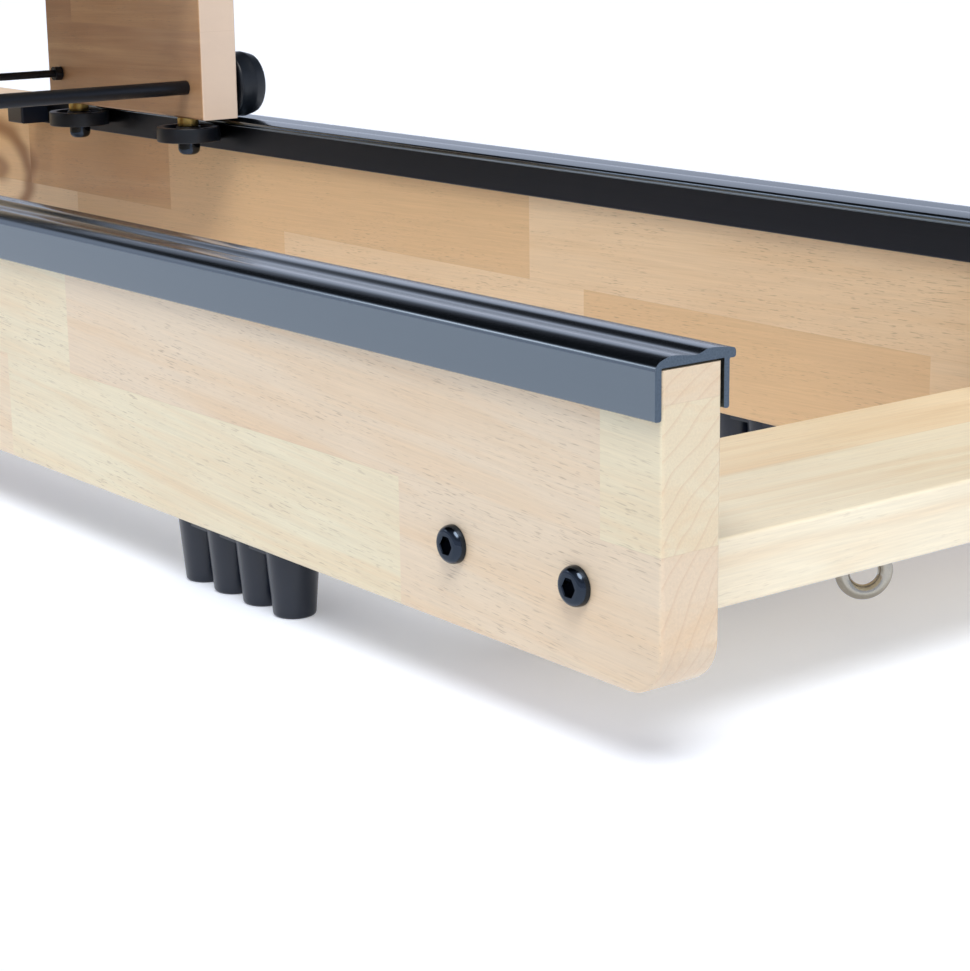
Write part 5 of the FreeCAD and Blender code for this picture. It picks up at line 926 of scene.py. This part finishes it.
# %% Pull strap, winding and foot straps
def new_webbing(name, path, across, width, thickness, body, replaced=()):
    """A band: each path point plus the section's share of the width along across and of the thickness
    along the normal, which is across times the path's direction."""
    across = np.array(across, float)
    direction = np.gradient(path, axis=0)
    direction /= np.linalg.norm(direction, axis=1, keepdims=True)
    normal = np.cross(across, direction)
    half_w, half_t = width / 2, thickness / 2
    section = soften([(-half_w, -half_t), (0, -half_t), (half_w, -half_t), (half_w, half_t), (0, half_t),
                      (-half_w, half_t)], half_t * 0.9, 3)
    points = path[:, None] + section[None, :, 0, None] * across + section[None, :, 1, None] * normal[:, None]
    travelled = np.concatenate([[0], np.cumsum(np.linalg.norm(np.diff(path, axis=0), axis=1))])
    weave = np.stack(np.broadcast_arrays(travelled[:, None], section[None, :, 0]), axis=-1)
    mesh = closed_mesh(name, *patch(points, capped=True), merge=0)
    flat = mesh.attributes.new("weave", "FLOAT2", "POINT")
    flat.data.foreach_set("vector", weave.astype(np.float32).ravel())
    print(name, "strap length", round(float(travelled[-1]), 1), "mm")
    return place_piece(name, mesh, webbing, 50, body, replaced)


UPRIGHT = (0, 0, 1)
STRAP_WIDTH, STRAP_THICK, RUN_RADIUS, PITCH, TURNS = 25.0, 1.6, 39.5, 2.1, 4
roller_low, roller_high = box_mm("strap_roller")
strap_z = middle_of("strap_winding")[2]
handle_y, handle_z = middle_of("handle_bar")[1:]
roller_centre = middle_of("strap_roller")[:2]
roller_reach = (roller_high[0] - roller_low[0]) / 2 + 0.3 + STRAP_THICK / 2
drum_centre = np.array([0.0, TANK_Y])
span = roller_centre - drum_centre
leave_angle = (math.atan2(span[1], span[0])
               + math.acos((RUN_RADIUS + roller_reach) / float(np.linalg.norm(span))))


def at_strap_height(flat):
    """Places on the plan, lifted to the height of the strap's middle."""
    return np.column_stack([flat, np.full(len(flat), strap_z)])


def strap_path():
    """Straight from the drum to the roller, part way round the roller, then straight to the handle."""
    outward = np.array([math.cos(leave_angle), math.sin(leave_angle)])
    onward = np.array([math.sin(leave_angle), -math.cos(leave_angle)])
    start = drum_centre + outward * RUN_RADIUS + onward * 0.3
    bend = np.linspace(leave_angle + math.pi, math.pi, 9)
    arc = roller_centre + roller_reach * np.stack([np.cos(bend), np.sin(bend)], axis=1)
    run = start + (arc[0] - start) * np.linspace(0, 1, 40)[:-1, None]
    end = np.array([0.0, handle_y + 18.3])
    last = arc[-1] + (end - arc[-1]) * np.linspace(0, 1, 48)[1:, None]
    return at_strap_height(np.vstack([run, arc, last]))


strap = new_webbing("pull_strap_webbing", strap_path(), UPRIGHT, STRAP_WIDTH, STRAP_THICK, None,
                    ["pull_strap"])
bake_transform(strap)

to_go = 1 - np.linspace(0, 1, 220)
wound_angle = leave_angle + to_go * TURNS * 2 * math.pi
wound_radius = RUN_RADIUS - to_go * TURNS * PITCH
wound = np.column_stack([wound_radius * np.cos(wound_angle), TANK_Y + wound_radius * np.sin(wound_angle)])
new_webbing("strap_on_drum", at_strap_height(wound), UPRIGHT, STRAP_WIDTH - 0.4, STRAP_THICK, "drum",
            ["strap_winding"])

FACE = np.array([0, 200.0, box_mm("middle_cross_board")[1][2]])
UP_BOARD = np.array([0, math.cos(FOOT_ANGLE), math.sin(FOOT_ANGLE)])
OFF_BOARD = np.array([0, -math.sin(FOOT_ANGLE), math.cos(FOOT_ANGLE)])
HEEL_X, ARCH, LEG, ARCH_UP, ARCH_WIDTH, ARCH_SQUASH, LAP_LIFT = 82.0, 54.1, 8.0, 232.0, 38.0, 0.985, 2.3


def over_foot(x, off_board):
    """Places across and off the sloping board at the arch's height up it, as places in the machine."""
    return (FACE + np.multiply.outer(x, (1, 0, 0)) + ARCH_UP * UP_BOARD
            + np.multiply.outer(off_board, OFF_BOARD))


for side_name, side in SIDES:
    turn = np.linspace(0, math.pi, 44)
    rise = np.linspace(0, LEG, 8)
    x = np.concatenate([np.full(7, ARCH), ARCH * np.cos(turn), np.full(7, -ARCH)])
    off = np.concatenate([rise[:-1], LEG + ARCH * np.sin(turn) * ARCH_SQUASH, rise[::-1][1:]])
    new_webbing(side_name + "_foot_strap", over_foot(HEEL_X * side + x, off), UP_BOARD, ARCH_WIDTH, 2.2,
                "frame", ["foot_straps"] if side < 0 else ())
    turn = np.linspace(math.radians(58), math.radians(128), 24)
    lap = ARCH + LAP_LIFT
    over = over_foot(HEEL_X * side - lap * np.cos(turn) * side, LEG + lap * np.sin(turn) * ARCH_SQUASH)
    new_webbing(side_name + "_strap_lap", over, UP_BOARD, ARCH_WIDTH - 2, 2.0, "frame")

# %% [markdown]
# ## Grips
#
# The grips are foam sleeves with shallow grooves. The groove is a cosine on the radius along the bar, and the
# ends close in an even curve.

# %% Foam grips with grooves
GRIP_START, GRIP_END = 88.0, box_mm("handle_grips")[1][0]
GRIP_RADIUS, GRIP_BORE, GRIP_FLOOR, GROOVE, GROOVE_PITCH = 16.9, 13.05, 2.9, 0.55, 7.0
along = np.linspace(GRIP_START, GRIP_END, 260)
from_end = np.minimum(along - GRIP_START, GRIP_END - along)
groove_share = np.clip((from_end - 12) / 6, 0, 1)
wave = (0.5 - 0.5 * np.cos(2 * math.pi * (along - GRIP_START) / GROOVE_PITCH)) ** 3
rounding = np.clip(from_end / 5.0, 0, 1)
grip_radius = GRIP_RADIUS - 3.6 * (1 - np.sqrt(1 - (1 - rounding) ** 2)) - GROOVE * wave * groove_share
grip_profile = np.vstack([[(GRIP_START, GRIP_BORE)], np.column_stack([along, grip_radius]), [(GRIP_END, 0)],
                          [(GRIP_END - GRIP_FLOOR, 0)], [(GRIP_END - GRIP_FLOOR, GRIP_BORE)]])
new_piece("grips", [turned(mirrored(looped(grip_profile), side), "X", (0, handle_y, handle_z), 56)
                    for side in (-1, 1)], foam, "handle", ["handle_grips"], 60)

# %% [markdown]
# ## Seat cushion
#
# A foam pad under a stretched cover: crowned, drawn in along its sides and flat where it lies on its board.
# The start is a stack of rounded oblongs. Cloth with a little pressure then lets the cover swell between its
# edges as the foam does, no point moves more than a few millimetres, and nothing sinks into the board.

# %% Cushion with its piping
RISE_SHARES = (0.0, 0.0, 0.02, 0.10, 0.30, 0.52, 0.70, 0.84, 0.93, 0.985, 1.0)
REACH_SHARES = (0.0, 0.93, 0.965, 0.99, 1.0, 0.995, 0.965, 0.90, 0.78, 0.52, 0.0)
SQUARENESS, DRAW_IN = 4.6, 0.034
SHRINK, CAP_MOVE, VOXEL, FRAMES = 4.0, 6.0, 5.0, 20
cushion_low, cushion_high = box_mm("seat_cushion")
cushion_middle = middle_of("seat_cushion")
CUSHION_HALF = (cushion_high - cushion_low) / 2


def oblong(turn):
    """A superellipse whose sides are drawn in where the cosine of twice the turn is large."""
    reach = (np.abs(np.cos(turn)) ** SQUARENESS + np.abs(np.sin(turn)) ** SQUARENESS) ** (-1 / SQUARENESS)
    reach = reach * (1 - DRAW_IN * np.abs(np.cos(2 * turn)) ** 3)
    return np.stack([np.cos(turn), np.sin(turn)], axis=-1) * reach[:, None]


def cushion_start():
    """Oblongs stacked from the board to the crown, each at its share of the height and of the reach."""
    outline = oblong(np.linspace(0, 2 * math.pi, 120, endpoint=False))
    rows = len(RISE_SHARES)
    between = np.linspace(0, rows - 1, rows * 7)
    rise = np.interp(between, np.arange(rows), RISE_SHARES)
    reach = np.interp(between, np.arange(rows), REACH_SHARES)
    flat = outline[None] * reach[:, None, None] * (CUSHION_HALF[:2] - SHRINK)
    height = np.broadcast_to((rise * (2 * CUSHION_HALF[2] - SHRINK))[:, None], flat.shape[:2])
    return np.dstack([flat + cushion_middle[:2], height + cushion_low[2]])


def swell(piece):
    """Cloth with pressure for 20 frames, away from gravity, then the moves are capped and kept."""
    still = read(piece.data.vertices, "co") / MM
    cloth = piece.modifiers.new("cover", "CLOTH")
    cloth.settings.use_pressure = True
    cloth.settings.uniform_pressure_force = 4.0
    cloth.settings.effector_weights.gravity = 0.0
    cloth.settings.quality = 5
    scene = bpy.context.scene
    for frame_number in range(1, FRAMES + 1):
        scene.frame_set(frame_number)
    seen = piece.evaluated_get(bpy.context.evaluated_depsgraph_get())
    move = read(seen.data.vertices, "co") / MM - still
    piece.modifiers.clear()
    scene.frame_set(1)
    length = np.maximum(np.linalg.norm(move, axis=1, keepdims=True), 1e-6)
    moved = still + move / length * np.minimum(length, CAP_MOVE)
    near_board = np.clip((moved[:, 2] - cushion_low[2]) / 8.0, 0, 1)[:, None]
    moved = still * (1 - near_board) + moved * near_board
    moved = np.clip(moved, cushion_low + 0.05, cushion_high - 0.05)
    piece.data.vertices.foreach_set("co", (moved * MM).astype(np.float32).ravel())
    piece.data.update()
    print("cover moved by up to", round(float(np.minimum(length, CAP_MOVE).max()), 1), "mm")


cushion = new_piece("cushion", [patch(cushion_start())], vinyl, "carriage",
                    ["seat_cushion"], 80)
even = cushion.modifiers.new("even", "REMESH")
even.mode = "VOXEL"
even.voxel_size = VOXEL * MM
even.use_smooth_shade = True
apply_modifiers(cushion)
print("cushion remeshed:", len(cushion.data.vertices), "points")
swell(cushion)
cushion.data.polygons.foreach_set("use_smooth", np.ones(len(cushion.data.polygons), bool))
if not cushion.data.materials:
    cushion.data.materials.append(vinyl)
smooth = cushion.modifiers.new("smooth", "SUBSURF")
smooth.levels = smooth.render_levels = 1
apply_modifiers(cushion)

SEAM_HEIGHT, SEAM_BAND, PIPING, BINS = 12.0, 3.5, 1.6, 96
pad = read(cushion.data.vertices, "co") / MM - cushion_middle
pad = pad[np.abs(pad[:, 2] + CUSHION_HALF[2] - SEAM_HEIGHT) < SEAM_BAND]
bin_of = ((np.arctan2(pad[:, 1], pad[:, 0]) + math.pi) / (2 * math.pi) * BINS).astype(int) % BINS
widest = np.zeros(BINS)
np.maximum.at(widest, bin_of, np.hypot(pad[:, 0], pad[:, 1]))
for _ in range(2):
    widest = (np.roll(widest, 1) + 2 * widest + np.roll(widest, -1)) / 4
turn = (np.arange(BINS) + 0.5) / BINS * 2 * math.pi - math.pi
seam = np.column_stack([(widest - 0.3) * np.cos(turn), (widest - 0.3) * np.sin(turn),
                        np.full(BINS, SEAM_HEIGHT)])
seam += (cushion_middle[0], cushion_middle[1], cushion_low[2])
seam_direction = np.roll(seam, -1, axis=0) - np.roll(seam, 1, axis=0)
seam_direction /= np.linalg.norm(seam_direction, axis=1, keepdims=True)
seam_side = np.cross(seam_direction, UPRIGHT)
turn = np.linspace(0, 2 * math.pi, 10, endpoint=False)[None, :, None]
piping = seam[:, None] + PIPING * (np.cos(turn) * seam_side[:, None] + np.sin(turn) * np.array(UPRIGHT))
new_piece("cushion_piping", [patch(looped(piping))], vinyl, "carriage", (), 60)

# %% [markdown]
# ## Screen
#
# The screen is a reflective liquid crystal panel: dark seven-segment figures on grey green. The figures are
# thin slabs on the window, placed across, up and off its sloping face. They are plain numbers.

# %% Seven-segment figures
SEGMENTS = {"0": "abcdef", "1": "bc", "2": "abged", "3": "abgcd", "4": "fgbc", "5": "afgcd", "8": "abcdefg"}
LINES = {"a": (0, 1, 2, 2), "b": (1, 1, 1, 2), "c": (1, 1, 0, 1), "d": (0, 1, 0, 0), "e": (0, 0, 0, 1),
         "f": (0, 0, 1, 2), "g": (0, 1, 1, 1)}
READINGS = (("20:00", -42, 31, 15), ("500", 12, 31, 9), ("24", -42, 8, 12), ("138", 6, 8, 12))
SCREEN_TILT = math.radians(20)
SCREEN_UP = np.array([0, math.sin(SCREEN_TILT), math.cos(SCREEN_TILT)])
SCREEN_OUT = np.array([0, -math.cos(SCREEN_TILT), math.sin(SCREEN_TILT)])
screen_node = NODES["monitor_screen"]
to_world = np.array(screen_node.matrix_world)
screen_points = (read(screen_node.data.vertices, "co") @ to_world[:3, :3].T + to_world[:3, 3]) / MM
screen_front = float((screen_points @ SCREEN_OUT).max())
screen_bottom = float((screen_points @ SCREEN_UP).min())


def slab(x0, x1, v0, v1, thick=0.15):
    """A thin block on the screen between x0 and x1 across and v0 and v1 up from its lower edge."""
    corners = np.array([(x0, v0), (x1, v0), (x1, v1), (x0, v1)], float)
    face = (np.outer(corners[:, 0], (1, 0, 0)) + np.outer(screen_bottom + corners[:, 1], SCREEN_UP)
            + screen_front * SCREEN_OUT)
    return patch(np.stack([face - 0.05 * SCREEN_OUT, face + thick * SCREEN_OUT]), capped=True)


def figures(text, x, v, size):
    """Slabs for a row of figures; size is the height of one and a colon takes half a place."""
    half, line, gap = size / 2, size * 0.085, size * 0.07
    made = []
    for letter in text:
        if letter == ":":
            made += [slab(x + half * 0.2, x + half * 0.2 + line * 1.6, v + h, v + h + line * 1.6)
                     for h in (size * 0.25, size * 0.65)]
            x += half * 0.55
            continue
        for name, (x0, x1, v0, v1) in LINES.items():
            if name in SEGMENTS[letter]:
                out, off = (-gap, line) if v0 == v1 else (line, -gap)
                made.append(slab(x + half * x0 - out, x + half * x1 + out,
                                 v + half * v0 - off, v + half * v1 + off))
        x += half + size * 0.36
    return made


new_piece("screen_figures", [shell for reading in READINGS for shell in figures(*reading)], ink, "monitor",
          (), 30)

# %% [markdown]
# ## Finishes for the CAD pieces
#
# The pieces that keep their CAD shape only need their material. Every material was made above from what the
# real piece is, so this is a list.

# %% Finish by node
FINISH = {
    wood_left_rail: ["left_rail"],
    wood_right_rail: ["right_rail"],
    wood_cross: ["rear_cross_board", "middle_cross_board", "tank_base_board"],
    wood_post: ["left_rear_post", "right_rear_post", "left_front_post", "right_front_post"],
    wood_deck: ["top_deck"],
    wood_carriage: ["left_carriage_board", "right_carriage_board"],
    wood_seat_board: ["seat_board"],
    wood_footboard: ["footboard"],
    black_steel: ["strap_bracket", "monitor_arm", "recoil_can"],
    steel: ["paddle_shaft", "recoil_spring", "handle_bar"],
    rubber: ["seat_stops", "tank_seal"],
    plastic: ["fill_plug", "paddle", "strap_drum", "one_way_clutch", "strap_roller", "strap_clip",
              "left_heel_cup", "right_heel_cup", "monitor_case", "handle_cradles", "heel_cup_pins"],
    wheel_plastic: ["transport_wheels"],
    acetal: ["shaft_bearings"],
    button_rubber: ["mode_button", "reset_button"],
    display: ["monitor_screen"],
}
for material, names in FINISH.items():
    for name in names:
        for slot_of_node in NODES[name].material_slots:
            slot_of_node.material = material
print("CAD pieces with a finish:", sum(len(names) for names in FINISH.values()))
